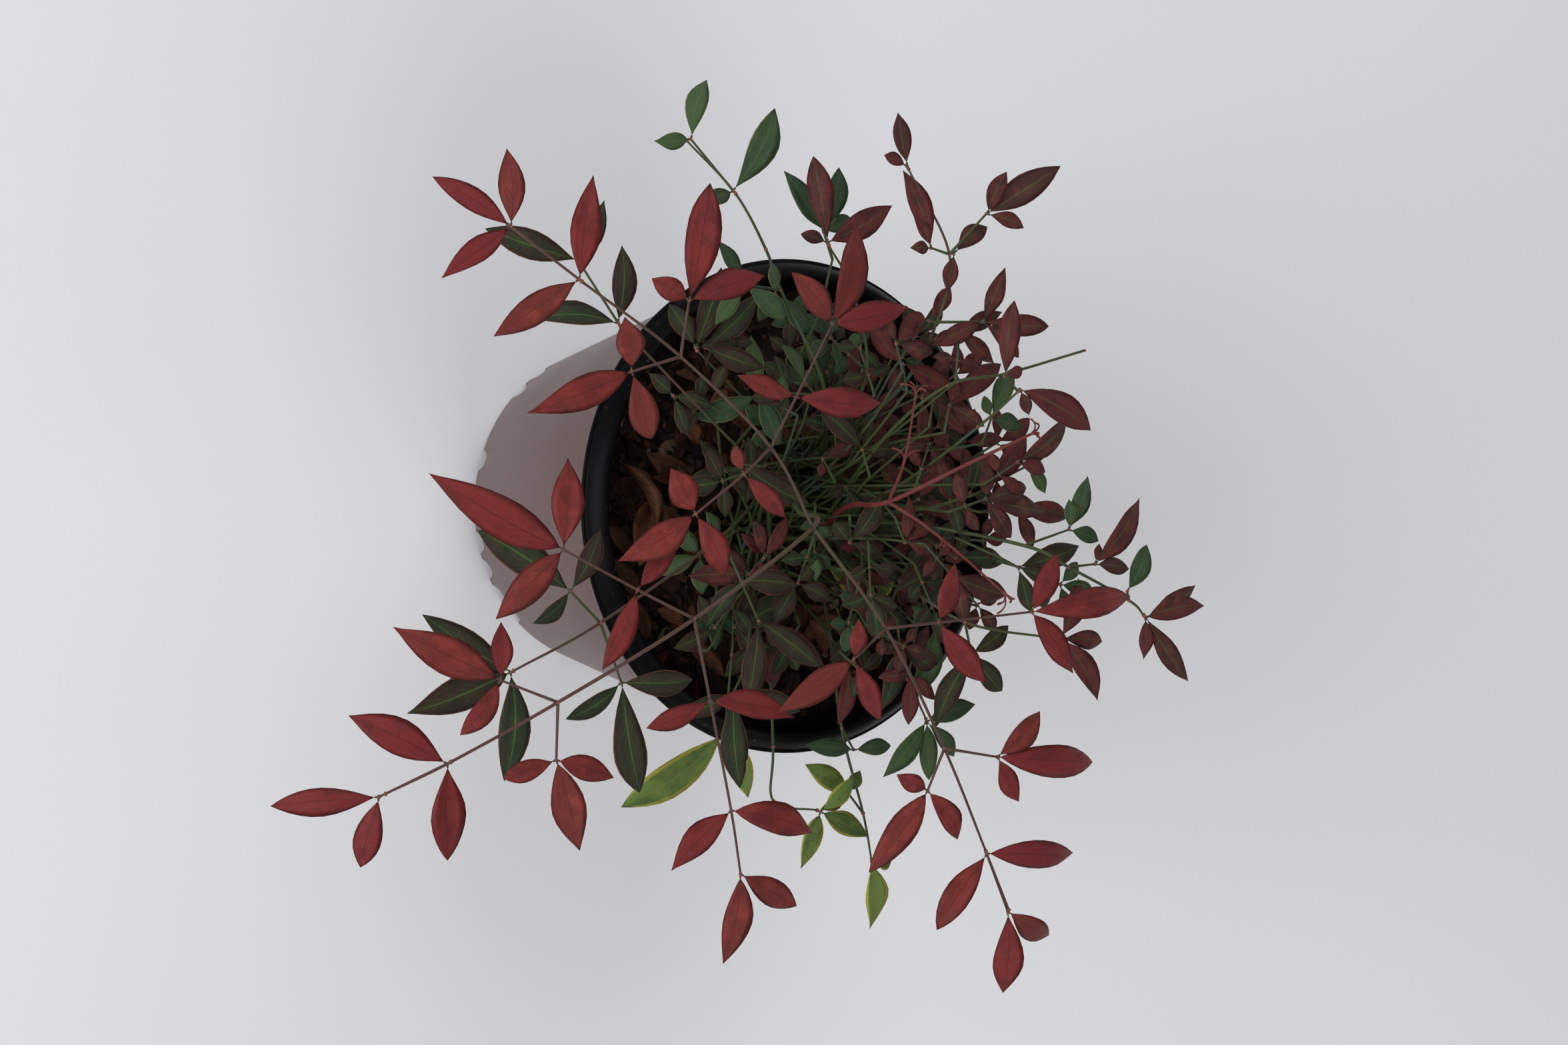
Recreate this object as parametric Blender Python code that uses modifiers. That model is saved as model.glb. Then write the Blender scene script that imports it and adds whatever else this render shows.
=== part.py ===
# A heavenly bamboo (Nandina domestica) growing in its round nursery pot.
# Metres, +Z up. The origin is the centre of the pot's flat underside.
# +X runs to the side that the long low leaves hang over, -Y to the side the top frond leans to.

import math
import random

import bmesh
import bpy
from mathutils import Matrix, Vector

MM = 0.001

# Pot, millimetres
RIM_RADIUS = 82.2
BASE_RADIUS = 56.0
POT_HEIGHT = 121.8
LIP_DEPTH = 7.2
LIP_OVERHANG = 4.1
WALL = 1.6
FLOOR = 3.0
POT_STEPS = 40
DRAIN_WIDTH = 7.0
DRAIN_HEIGHT = 5.0
DRAIN_SIDES = 4
DRAIN_GROUP = [28 + 10 * (step - 1.5) for step in range(4)] + [73]

# Soil, millimetres
SOIL_TOP = 104.0
GAP = 0.4

# Canes: foot on the soil, lean in degrees and heading of the lean
CANE_FOOT_RADIUS = 3.6
CANE_TIP_RADIUS = 2.6
CANE_LENGTH = 26.0
CANES = {
    "cane_1": dict(foot=(-8, -8), lean=9, heading=-100),
    "cane_2": dict(foot=(4, 5), lean=8, heading=40),
    "cane_3": dict(foot=(-13, 6), lean=10, heading=170),
}

# Limbs: the cane or limb they leave, how far up it, their nodes as (x, y, z) and their thickness at both ends
LIMBS = {
    "top_frond_stalk": dict(
        cane="cane_1", up=0.9, thick=(2.3, 1.0),
        nodes=[(2, -34, 168), (7, -55, 206), (34, -102, 212), (58, -143, 202), (75, -172, 190), (84, -189, 182)],
    ),
    "top_frond_right_rib": dict(
        limb="top_frond_stalk", node=1, thick=(1.5, 0.9),
        nodes=[(38, -32, 212), (76, -5, 206), (110, 19, 196), (130, 33, 190)],
    ),
    "top_frond_left_rib": dict(
        limb="top_frond_stalk", node=1, thick=(1.5, 0.9),
        nodes=[(-17, -76, 214), (-43, -112, 220), (-64, -144, 217), (-80, -164, 209)],
    ),
    "dark_frond_stalk": dict(
        cane="cane_1", up=0.6, thick=(1.9, 1.0),
        nodes=[(10, -50, 148), (36, -110, 172), (50, -138, 168)],
    ),
    "green_frond_stalk": dict(
        cane="cane_3", up=0.85, thick=(1.9, 0.9),
        nodes=[(-39, -19, 160), (-67, -47, 177), (-79, -56, 182), (-96, -66, 180), (-112, -80, 174)],
    ),
    "middle_frond_stalk": dict(
        cane="cane_3", up=0.6, thick=(1.7, 0.9),
        nodes=[(-40, -8, 168), (-66, -30, 192), (-80, -42, 196)],
    ),
    "back_left_stalk": dict(
        cane="cane_3", up=0.88, thick=(1.9, 0.9),
        nodes=[(-38, 8, 165), (-58, 4, 190), (-79, 3, 198), (-105, -13, 198)],
    ),
    "back_stalk": dict(
        cane="cane_2", up=0.88, thick=(1.8, 1.0),
        nodes=[(-8, 14, 160), (-25, 19, 192), (-36, 25, 205)],
    ),
    "right_frond_stalk": dict(
        cane="cane_2", up=0.78, thick=(2.0, 1.0),
        nodes=[(6, 18, 156), (13, 44, 184), (20, 56, 192), (31, 78, 196), (36, 86, 194)],
    ),
    "right_low_stalk": dict(
        cane="cane_2", up=0.7, thick=(1.8, 1.0),
        nodes=[(22, 16, 148), (38, 32, 168), (44, 68, 172)],
    ),
    "low_left_stalk": dict(
        cane="cane_1", up=0.5, thick=(1.7, 0.9),
        nodes=[(38, -22, 134), (78, -26, 142), (96, -23, 138), (100, -3, 134)],
    ),
    "low_middle_stalk": dict(
        cane="cane_2", up=0.45, thick=(1.8, 0.9),
        nodes=[(38, 4, 130), (73, 4, 138), (102, 17, 132), (118, 24, 127)],
    ),
    "low_right_stalk": dict(
        cane="cane_2", up=0.55, thick=(1.6, 0.9),
        nodes=[(32, 16, 136), (57, 22, 150), (70, 28, 152)],
    ),
    "front_low_stalk": dict(
        cane="cane_1", up=0.4, thick=(1.7, 0.9),
        nodes=[(20, -30, 128), (48, -42, 142), (72, -48, 147)],
    ),
    "under_left_stalk": dict(
        cane="cane_1", up=0.7, thick=(1.8, 0.9),
        nodes=[(-18, -46, 152), (-54, -108, 180)],
    ),
    "inner_left_stalk": dict(
        cane="cane_3", up=0.4, thick=(1.6, 0.9),
        nodes=[(-28, -30, 142), (-48, -71, 166)],
    ),
    "flower_stalk": dict(
        cane="cane_2", up=0.89, thick=(2.2, 0.9),
        nodes=[(0, -8, 160), (-1, -12, 186), (-12, 2, 206), (-22, 18, 220)],
    ),
}

# Foliage: the limb and the node it grows from, its heading, the rise of its stalk in degrees,
# the length to its first leaflets and between its nodes, then its leaflets, node by node from
# the limb outwards, as (turn from the heading in degrees, length)
FOLIAGE = {
    "top_left_spray_1": dict(
        limb="top_frond_left_rib", node=0, heading=147, steps=(18, 27),
        leaflets=[[(106, 22), (-58, 34)], [(75, 21), (10, 35), (-46, 33)]],
    ),
    "top_left_spray_2": dict(
        limb="top_frond_left_rib", node=0, heading=-54, steps=(14, 20), lift=3,
        leaflets=[[(106, 20), (-104, 9)], [(-95, 16), (-7, 28), (87, 22)]],
    ),
    "top_left_spray_3": dict(
        limb="top_frond_left_rib", node=1, heading=168, steps=(17,),
        leaflets=[[(76, 14), (-5, 37), (-61, 30)]],
    ),
    "top_left_spray_4": dict(
        limb="top_frond_left_rib", node=1, heading=-74, steps=(17,),
        leaflets=[[(-98, 16), (7, 35), (95, 21)]],
    ),
    "top_left_spray_5": dict(
        limb="top_frond_left_rib", node=2, heading=-128, rise=-14, steps=(1, 24),
        leaflets=[[(-66, 32), (70, 31)], [(4, 25), (-56, 23), (73, 24)]],
    ),
    "top_front_spray_1": dict(
        limb="top_frond_stalk", node=2, heading=-116, steps=(20, 27), lift=-2,
        leaflets=[[(-108, 22), (89, 26)], [(-2, 45), (-69, 27), (68, 29)]],
    ),
    "top_front_spray_2": dict(
        limb="top_frond_stalk", node=2, heading=18, rise=-8, steps=(26, 35, 21),
        leaflets=[[(-88, 23), (60, 34)], [(-66, 26), (58, 35)], [(-21, 28), (47, 26)]],
    ),
    "top_front_spray_3": dict(
        limb="top_frond_stalk", node=3, heading=-111, rise=-8, steps=(19,),
        leaflets=[[(-5, 35), (-74, 17), (73, 20)]],
    ),
    "top_front_spray_4": dict(
        limb="top_frond_stalk", node=3, heading=3, rise=-8, steps=(17,),
        leaflets=[[(-79, 18), (70, 22), (21, 30)]],
    ),
    "top_front_spray_5": dict(
        limb="top_frond_stalk", node=4, heading=-62, rise=-23, steps=(1, 20),
        leaflets=[[(-56, 31), (69, 29)], [(-25, 28), (54, 21)]],
    ),
    "top_right_spray_1": dict(
        limb="top_frond_right_rib", node=0, heading=-51, steps=(15,),
        leaflets=[[(-137, 13), (-7, 30), (83, 22)]],
    ),
    "top_right_spray_2": dict(
        limb="top_frond_right_rib", node=0, heading=94, steps=(21, 39),
        leaflets=[[(65, 20), (-49, 28)], [(49, 23), (1, 48), (-48, 29)]],
    ),
    "top_right_spray_3": dict(
        limb="top_frond_right_rib", node=1, heading=81, rise=-6, steps=(23,),
        leaflets=[[(43, 24), (6, 45), (-45, 18)]],
    ),
    "top_right_spray_4": dict(
        limb="top_frond_right_rib", node=1, heading=-21, rise=-8, steps=(14,),
        leaflets=[[(-94, 13), (-15, 31), (63, 21)]],
    ),
    "top_right_spray_5": dict(
        limb="top_frond_right_rib", node=2, heading=34, rise=-14, steps=(1, 24),
        leaflets=[[(51, 41), (-71, 29)], [(32, 25), (-21, 28)]],
    ),
    "dark_spray_1": dict(
        limb="dark_frond_stalk", node=2, heading=-64, rise=-7, steps=(1,),
        leaflets=[[(-58, 33), (-6, 34), (65, 33)]],
    ),
    "dark_spray_2": dict(
        limb="dark_frond_stalk", node=1, heading=-134, steps=(14,),
        leaflets=[[(79, 16), (-76, 22), (14, 35)]],
    ),
    "dark_spray_3": dict(
        limb="dark_frond_stalk", node=1, heading=28, rise=-10, steps=(21,),
        leaflets=[[(-90, 22), (63, 29), (-9, 37)]],
    ),
    "green_spray_1": dict(
        limb="green_frond_stalk", node=3, heading=-142, rise=-14, steps=(1, 20),
        leaflets=[[(-71, 33), (75, 12)], [(-62, 21), (58, 12)]],
    ),
    "green_spray_2": dict(
        limb="green_frond_stalk", node=1, heading=-96, rise=-8, steps=(13,),
        leaflets=[[(-51, 16), (150, 18), (60, 16)]],
    ),
    "middle_spray": dict(
        limb="middle_frond_stalk", node=2, heading=-151, steps=(1,),
        leaflets=[[(-22, 27), (-92, 29), (49, 10)]],
    ),
    "back_left_spray_1": dict(
        limb="back_left_stalk", node=3, heading=-149, steps=(1,),
        leaflets=[[(-21, 17), (41, 9)]],
    ),
    "back_left_spray_2": dict(
        limb="back_left_stalk", node=2, heading=137, rise=10, steps=(18,),
        leaflets=[[(15, 15), (-16, 32), (-61, 15)]],
    ),
    "back_left_spray_3": dict(
        limb="back_left_stalk", node=1, heading=92, rise=6, steps=(17,),
        leaflets=[[(59, 20), (-5, 26), (-39, 18), (-159, 20)]],
    ),
    "back_spray": dict(
        limb="back_stalk", node=2, heading=137, steps=(1,),
        leaflets=[[(-67, 34), (-111, 9)]],
    ),
    "right_spray_1": dict(
        limb="right_frond_stalk", node=1, heading=105, steps=(20,),
        leaflets=[[(47, 20), (72, 10), (-30, 14)]],
    ),
    "right_spray_2": dict(
        limb="right_frond_stalk", node=2, heading=95, rise=0, steps=(11,),
        leaflets=[[(40, 30), (-11, 15), (69, 7)]],
    ),
    "right_spray_3": dict(
        limb="right_frond_stalk", node=4, heading=45, rise=-6, steps=(1,),
        leaflets=[[(69, 26), (53, 29), (-3, 31), (-45, 14)]],
    ),
    "right_low_spray": dict(
        limb="right_low_stalk", node=2, heading=97, rise=-6, steps=(1,),
        leaflets=[[(-13, 20), (-58, 28), (60, 22)]],
    ),
    "right_inner_spray": dict(
        limb="right_low_stalk", node=1, heading=20, rise=-8, steps=(11,),
        leaflets=[[(-45, 27), (30, 20), (100, 18)]],
    ),
    "low_spray_1": dict(
        limb="low_left_stalk", node=3, heading=60, rise=-4, steps=(1,), lift=3,
        leaflets=[[(-83, 20), (4, 22), (70, 17)]],
    ),
    "low_spray_2": dict(
        limb="low_middle_stalk", node=3, heading=20, rise=-16, steps=(1,),
        leaflets=[[(-9, 24), (70, 20), (-80, 18)]],
    ),
    "low_spray_3": dict(
        limb="low_right_stalk", node=2, heading=20, rise=-6, steps=(1,),
        leaflets=[[(-62, 24), (28, 18), (85, 22), (-10, 20)]],
    ),
    "front_low_spray": dict(
        limb="front_low_stalk", node=2, heading=-30, rise=-8, steps=(1,),
        leaflets=[[(-27, 40), (58, 24)]],
    ),
    "under_left_spray": dict(
        limb="under_left_stalk", node=1, heading=-147, rise=-8, steps=(1, 22),
        leaflets=[[(-40, 24), (55, 27)], [(38, 30), (-62, 22)]],
    ),
    "inner_left_spray": dict(
        limb="inner_left_stalk", node=1, heading=-155, steps=(1,),
        leaflets=[[(-50, 28), (8, 16), (-108, 22)]],
    ),
    "inner_back_spray": dict(
        limb="back_left_stalk", node=0, heading=70, rise=2, steps=(9,),
        leaflets=[[(-66, 18), (6, 22), (72, 18)]],
    ),
    "inner_front_spray": dict(
        limb="dark_frond_stalk", node=0, heading=22, rise=10, steps=(15, 14),
        leaflets=[[(-66, 20), (62, 22)], [(-32, 26), (36, 28)]],
    ),
}

LEAFLET_WIDTH = 0.36
PAD_THICKNESS = 2.6
PAD_CLEARANCE = 0.6
NECK_REACH = 0.3
LEAFLET_DROOP = 0.0022
LEAST_TURN = 5.0
LIFT_LENGTH = 5.0
LEAST_OUTWARD = 0.15

COLOURS = {
    "pot": ((0.035, 0.035, 0.037, 1), 0.35),
    "soil": ((0.07, 0.045, 0.03, 1), 0.95),
    "cane": ((0.30, 0.22, 0.15, 1), 0.8),
    "stalk": ((0.30, 0.30, 0.20, 1), 0.55),
    "flower_stalk": ((0.55, 0.16, 0.12, 1), 0.5),
    "red_leaf": ((0.38, 0.08, 0.07, 1), 0.5),
    "dark_leaf": ((0.13, 0.07, 0.06, 1), 0.5),
    "green_leaf": ((0.20, 0.27, 0.12, 1), 0.5),
}


def clear_scene():
    for thing in list(bpy.data.objects):
        bpy.data.objects.remove(thing)


def new_collection(name, hidden=False):
    group = bpy.data.collections.new(name)
    group.hide_render = hidden
    bpy.context.scene.collection.children.link(group)
    return group


def material(name):
    made = bpy.data.materials.get(name)
    if made:
        return made
    colour, roughness = COLOURS[name]
    made = bpy.data.materials.new(name)
    made.use_nodes = True
    shader = made.node_tree.nodes["Principled BSDF"]
    shader.inputs["Base Color"].default_value = colour
    shader.inputs["Roughness"].default_value = roughness
    shader.inputs["Metallic"].default_value = 0.0
    made.diffuse_color = colour
    return made


def mesh_object(name, bm, finish, group):
    mesh = bpy.data.meshes.new(name)
    bm.to_mesh(mesh)
    bm.free()
    made = bpy.data.objects.new(name, mesh)
    group.objects.link(made)
    if finish:
        mesh.materials.append(material(finish))
    return made


def turned(name, profile, finish, group):
    # A profile of (radius, height) in millimetres, from the top axis point down to the bottom one,
    # turned about the Z axis
    bm = bmesh.new()
    points = [bm.verts.new((radius * MM, 0, height * MM)) for radius, height in profile]
    for upper, lower in zip(points, points[1:]):
        bm.edges.new((upper, lower))
    made = mesh_object(name, bm, finish, group)
    screw = made.modifiers.new("turn", "SCREW")
    screw.steps = POT_STEPS
    screw.render_steps = POT_STEPS
    screw.use_merge_vertices = True
    screw.merge_threshold = 0.00001
    screw.use_smooth_shade = True
    return made


def wall_radius(height):
    # The outer wall widens evenly from the base to where the lip hides it
    top = RIM_RADIUS - LIP_OVERHANG
    return BASE_RADIUS + (top - BASE_RADIUS) * height / (POT_HEIGHT - LIP_DEPTH)


def make_pot(group, cutters):
    lip_foot = POT_HEIGHT - LIP_DEPTH
    profile = [
        (0, FLOOR),
        (wall_radius(FLOOR) - WALL, FLOOR),
        (wall_radius(lip_foot) - WALL, lip_foot),
        (RIM_RADIUS - 6.8, POT_HEIGHT - 1.2),
        (RIM_RADIUS - 6.6, POT_HEIGHT - 0.3),
        (RIM_RADIUS - 5.8, POT_HEIGHT),
        (RIM_RADIUS - 4.6, POT_HEIGHT - 0.5),
        (RIM_RADIUS - 2.9, POT_HEIGHT - 2.2),
        (RIM_RADIUS - 1.6, POT_HEIGHT - 4.2),
        (RIM_RADIUS - 1.1, POT_HEIGHT - 5.4),
        (RIM_RADIUS, POT_HEIGHT - 5.9),
        (RIM_RADIUS, lip_foot + 0.5),
        (RIM_RADIUS - 0.4, lip_foot),
        (wall_radius(lip_foot), lip_foot),
        (wall_radius(1.2), 1.2),
        (BASE_RADIUS - 0.9, 0),
        (0, 0),
    ]
    pot = turned("pot", profile, "pot", group)

    # Drain holes: arches cut across the corner between wall and floor
    bm = bmesh.new()
    for side in range(DRAIN_SIDES):
        for turn in DRAIN_GROUP:
            around = turn + side * 360 / DRAIN_SIDES
            made = bmesh.ops.create_cone(
                bm, cap_ends=True, segments=10, depth=10 * MM,
                radius1=DRAIN_WIDTH / 2 * MM, radius2=DRAIN_WIDTH / 2 * MM,
            )["verts"]
            bmesh.ops.scale(bm, verts=made, vec=(2 * DRAIN_HEIGHT / DRAIN_WIDTH, 1, 1))
            bmesh.ops.rotate(bm, verts=made, matrix=rotation_y(90))
            bmesh.ops.translate(bm, verts=made, vec=(BASE_RADIUS * MM, 0, 0))
            bmesh.ops.rotate(bm, verts=made, matrix=rotation_z(around))
    cutter = mesh_object("drain_cutter", bm, None, cutters)
    cutter.hide_render = True
    cutter.display_type = "WIRE"
    cut = pot.modifiers.new("drain holes", "BOOLEAN")
    cut.object = cutter
    cut.operation = "DIFFERENCE"
    cut.solver = "EXACT"


def rotation_y(degrees):
    return Matrix.Rotation(math.radians(degrees), 3, "Y")


def rotation_z(degrees):
    return Matrix.Rotation(math.radians(degrees), 3, "Z")


def make_soil(group):
    inside = WALL + GAP
    low = FLOOR + GAP
    crown = 1.5
    profile = [
        (0, SOIL_TOP),
        (wall_radius(SOIL_TOP) * 0.6, SOIL_TOP - crown * 0.3),
        (wall_radius(SOIL_TOP - crown) - inside, SOIL_TOP - crown),
        (wall_radius(low) - inside, low),
        (0, low),
    ]
    turned("potting_soil", profile, "soil", group)


def cane_axis(cane):
    # Foot and tip of a cane's centre line
    plan = CANES[cane]
    foot = Vector((*plan["foot"], SOIL_TOP + GAP))
    lean = math.radians(plan["lean"])
    heading = math.radians(plan["heading"])
    way = Vector((math.sin(lean) * math.cos(heading), math.sin(lean) * math.sin(heading), math.cos(lean)))
    return foot, foot + way * CANE_LENGTH


def make_cane(name, group):
    # A short tapering stub, level at its foot, with a rounded tip
    foot, tip = cane_axis(name)
    way = (tip - foot).normalized()
    bm = bmesh.new()
    rings = [
        (0, CANE_FOOT_RADIUS * 1.25),
        (0.12, CANE_FOOT_RADIUS),
        (0.9, CANE_TIP_RADIUS),
        (1.0, CANE_TIP_RADIUS * 0.6),
    ]
    sides = 10
    loops = []
    for up, radius in rings:
        centre = foot + way * CANE_LENGTH * up
        loops.append([
            bm.verts.new((centre + Vector((
                radius * math.cos(2 * math.pi * step / sides),
                radius * math.sin(2 * math.pi * step / sides),
                0,
            ))) * MM)
            for step in range(sides)
        ])
    for lower, upper in zip(loops, loops[1:]):
        for step in range(sides):
            after = (step + 1) % sides
            bm.faces.new((lower[step], lower[after], upper[after], upper[step]))
    bm.faces.new(reversed(loops[0]))
    bm.faces.new(loops[-1])
    made = mesh_object(name, bm, "cane", group)
    made.data.shade_smooth()


def limb_radius(name, node):
    # A limb thins evenly from one end to the other
    plan = LIMBS[name]
    thick, thin = plan["thick"]
    return (thick + (thin - thick) * (node + 1) / len(plan["nodes"])) / 2


def limb_start(name):
    # Where a limb leaves its cane or the limb that bears it, clear of that piece's surface
    plan = LIMBS[name]
    first = Vector(plan["nodes"][0])
    if "cane" in plan:
        foot, tip = cane_axis(plan["cane"])
        seat = foot.lerp(tip, plan["up"])
        radius = CANE_FOOT_RADIUS + (CANE_TIP_RADIUS - CANE_FOOT_RADIUS) * plan["up"]
        way = (first - seat).normalized()
        flat = Vector((way.x, way.y, 0)).normalized()
        return seat + flat * (radius + plan["thick"][0] / 2 * way.z + GAP)
    bearer = LIMBS[plan["limb"]]
    seat = Vector(bearer["nodes"][plan["node"]])
    way = (first - seat).normalized()
    return seat + way * (bearer["thick"][0] / 2 + GAP)


def smooth_path(nodes, steps=3):
    # A Catmull-Rom curve through the nodes
    points = [2 * nodes[0] - nodes[1], *nodes, 2 * nodes[-1] - nodes[-2]]
    path = []
    for before, start, end, after in zip(points, points[1:], points[2:], points[3:]):
        for step in range(steps):
            t = step / steps
            path.append(0.5 * (
                2 * start
                + (end - before) * t
                + (2 * before - 5 * start + 4 * end - after) * t ** 2
                + (3 * start - before - 3 * end + after) * t ** 3
            ))
    path.append(nodes[-1])
    return path


def make_limb(name, finish, group):
    plan = LIMBS[name]
    path = smooth_path([limb_start(name)] + [Vector(node) for node in plan["nodes"]])
    curve = bpy.data.curves.new(name, "CURVE")
    curve.dimensions = "3D"
    curve.bevel_depth = plan["thick"][0] / 2 * MM
    curve.bevel_resolution = 1
    curve.use_fill_caps = True
    spline = curve.splines.new("POLY")
    spline.points.add(len(path) - 1)
    taper = plan["thick"][1] / plan["thick"][0]
    for step, (point, place) in enumerate(zip(spline.points, path)):
        point.co = (*(place * MM), 1)
        point.radius = 1 + (taper - 1) * step / (len(path) - 1)
    made = bpy.data.objects.new(name, curve)
    group.objects.link(made)
    curve.materials.append(material(finish))


def leaflet_plan(plan):
    # Every leaflet as its base and tip in the spray's own plane: x along the heading, y to the left
    leaflets = []
    along = 0
    for step, fan in zip(plan["steps"], plan["leaflets"]):
        along += step
        for turn, length in fan:
            angle = math.radians(turn)
            base = Vector((along, 0))
            leaflets.append((base, base + length * Vector((math.cos(angle), math.sin(angle)))))
    return leaflets, along


def reach_across(centre, way, base, tip):
    # The furthest point of a leaflet's ellipse on a ray from the centre, or 0 where the ray misses it
    middle = (base + tip) / 2
    long = (tip - base) / 2
    half = long.length
    along = long.normalized()
    across = Vector((-along.y, along.x))
    start = centre - middle
    a, b = half, half * LEAFLET_WIDTH
    ox, oy = start.dot(along) / a, start.dot(across) / b
    dx, dy = way.dot(along) / a, way.dot(across) / b
    square = dx * dx + dy * dy
    half_slope = ox * dx + oy * dy
    rest = half_slope ** 2 - square * (ox * ox + oy * oy - 1)
    return max(0, (math.sqrt(rest) - half_slope) / square) if rest > 0 else 0


def pad_outline(plan, leaflets, along, chance):
    # The outline seen from above, a star round the middle of the spray with one lobe to a leaflet
    centre = Vector((plan["steps"][0] + (along - plan["steps"][0]) / 2, 0))
    back = 180.0
    turns = [back, back - 14, back + 14]
    for base, tip in leaflets:
        way = tip - centre
        tip_turn = math.degrees(math.atan2(way.y, way.x)) % 360
        shoulder = base.lerp(tip, 0.55) - centre
        width = math.degrees(math.atan2((tip - base).length * LEAFLET_WIDTH * 0.45, shoulder.length))
        turns += [tip_turn, tip_turn - width, tip_turn + width]
    turns += [36 * step for step in range(10)]
    turns = sorted(turn % 360 for turn in turns)
    kept = [turns[0]]
    for turn in turns[1:]:
        if turn - kept[-1] >= LEAST_TURN:
            kept.append(turn)
    outline = []
    neck = centre.x - NECK_REACH
    for turn in kept:
        way = Vector((math.cos(math.radians(turn)), math.sin(math.radians(turn))))
        reach = max(reach_across(centre, way, base, tip) for base, tip in leaflets)
        reach = max(reach, 3.2 + chance.uniform(0, 1.2))
        if abs(turn - back) < 2:
            reach = max(neck, 3.2)
        outline.append(centre + way * reach)
    return centre, outline


def make_foliage(name, finish, group):
    # A thin uneven pad: its edge is sharp, its middle swells, and it droops away from its stalk
    plan = FOLIAGE[name]
    chance = random.Random(name)
    leaflets, along = leaflet_plan(plan)
    centre, outline = pad_outline(plan, leaflets, along, chance)
    foot = Vector(LIMBS[plan["limb"]]["nodes"][plan["node"]])
    heading = math.radians(plan["heading"])
    ahead = Vector((math.cos(heading), math.sin(heading), 0))
    left = Vector((-ahead.y, ahead.x, 0))
    slope = math.tan(math.radians(plan.get("rise", -3)))
    lift = plan.get("lift", 0)
    seat = limb_radius(plan["limb"], plan["node"]) + PAD_CLEARANCE

    def place(spot, height):
        away = (spot - centre).length if spot.x > centre.x else abs(spot.y)
        outward = max(LEAST_OUTWARD, min(1, spot.x / LIFT_LENGTH))
        level = seat + slope * spot.x - LEAFLET_DROOP * away ** 2 + (lift + height) * outward
        return (foot + ahead * spot.x + left * spot.y + Vector((0, 0, level))) * MM

    bm = bmesh.new()
    edge = [bm.verts.new(place(spot, PAD_THICKNESS * 0.3)) for spot in outline]
    for side, swell in ((1, PAD_THICKNESS), (-1, 0)):
        ring = []
        for spot in outline:
            bump = chance.uniform(-0.35, 0.35) if side > 0 else 0
            ring.append(bm.verts.new(place(centre.lerp(spot, 0.5), swell * 0.85 + bump)))
        middle = bm.verts.new(place(centre, swell))
        for step in range(len(edge)):
            after = (step + 1) % len(edge)
            faces = [(edge[step], edge[after], ring[after], ring[step]), (ring[step], ring[after], middle)]
            for face in faces:
                bm.faces.new(face if side > 0 else tuple(reversed(face)))
    made = mesh_object(name, bm, finish, group)
    made.data.shade_smooth()


def main():
    clear_scene()
    plant = new_collection("heavenly_bamboo_in_pot")
    cutters = new_collection("cutters", hidden=True)
    make_pot(plant, cutters)
    make_soil(plant)
    for name in CANES:
        make_cane(name, plant)
    for name in LIMBS:
        make_limb(name, "flower_stalk" if name == "flower_stalk" else "stalk", plant)
    for name in FOLIAGE:
        if name.startswith("top"):
            finish = "red_leaf"
        elif name.startswith(("dark", "back", "right")):
            finish = "dark_leaf"
        else:
            finish = "green_leaf"
        make_foliage(name, finish, plant)


main()
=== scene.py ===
import math
import random

import bpy
import numpy as np
from mathutils import Matrix


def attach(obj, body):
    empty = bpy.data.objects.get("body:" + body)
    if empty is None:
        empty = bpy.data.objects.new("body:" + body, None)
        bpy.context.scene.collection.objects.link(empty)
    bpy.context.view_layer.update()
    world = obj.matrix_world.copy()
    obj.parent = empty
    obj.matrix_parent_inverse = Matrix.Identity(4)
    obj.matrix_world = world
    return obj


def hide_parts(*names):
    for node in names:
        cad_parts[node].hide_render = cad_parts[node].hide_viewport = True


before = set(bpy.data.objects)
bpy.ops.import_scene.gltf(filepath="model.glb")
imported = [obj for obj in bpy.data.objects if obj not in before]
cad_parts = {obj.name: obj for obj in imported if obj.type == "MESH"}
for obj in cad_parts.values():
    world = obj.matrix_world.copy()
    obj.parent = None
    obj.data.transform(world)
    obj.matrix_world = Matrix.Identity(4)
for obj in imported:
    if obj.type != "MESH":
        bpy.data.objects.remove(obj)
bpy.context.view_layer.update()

mm = 0.001
print("frame loaded:", len(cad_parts), "nodes")


# Shapes are worked out in millimetres and go into their meshes in metres.

def unit(vectors):
    return vectors / np.maximum(np.linalg.norm(vectors, axis=-1, keepdims=True), 1e-9)


def addPiece(name, points, faces, materials, faceMaterials=None, maps=None, replaces=()):
    # Puts point and face arrays into one mesh object. faces is a list of (n, 3) and (n, 4) arrays
    sizes = np.concatenate([np.full(len(part), part.shape[1]) for part in faces])
    corners = np.concatenate([part.ravel() for part in faces]).astype(np.int32)
    starts = np.concatenate([[0], np.cumsum(sizes)[:-1]]).astype(np.int32)
    mesh = bpy.data.meshes.new(name)
    mesh.vertices.add(len(points))
    mesh.vertices.foreach_set("co", (np.asarray(points) * mm).astype(np.float32).ravel())
    mesh.loops.add(len(corners))
    mesh.loops.foreach_set("vertex_index", corners)
    mesh.polygons.add(len(sizes))
    mesh.polygons.foreach_set("loop_start", starts)
    mesh.polygons.foreach_set("use_smooth", np.ones(len(sizes), bool))
    for material in materials:
        mesh.materials.append(material)
    if faceMaterials is not None:
        mesh.polygons.foreach_set("material_index", np.asarray(faceMaterials, np.int32))
    for mapName, cornerPlaces in (maps or {}).items():
        layer = mesh.uv_layers.new(name=mapName)
        layer.uv.foreach_set("vector", np.asarray(cornerPlaces, np.float32).ravel())
    mesh.update()
    mesh.validate()
    piece = bpy.data.objects.new(name, mesh)
    bpy.context.scene.collection.objects.link(piece)
    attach(piece, "root")
    if replaces:
        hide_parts(*replaces)
    return piece


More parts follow.
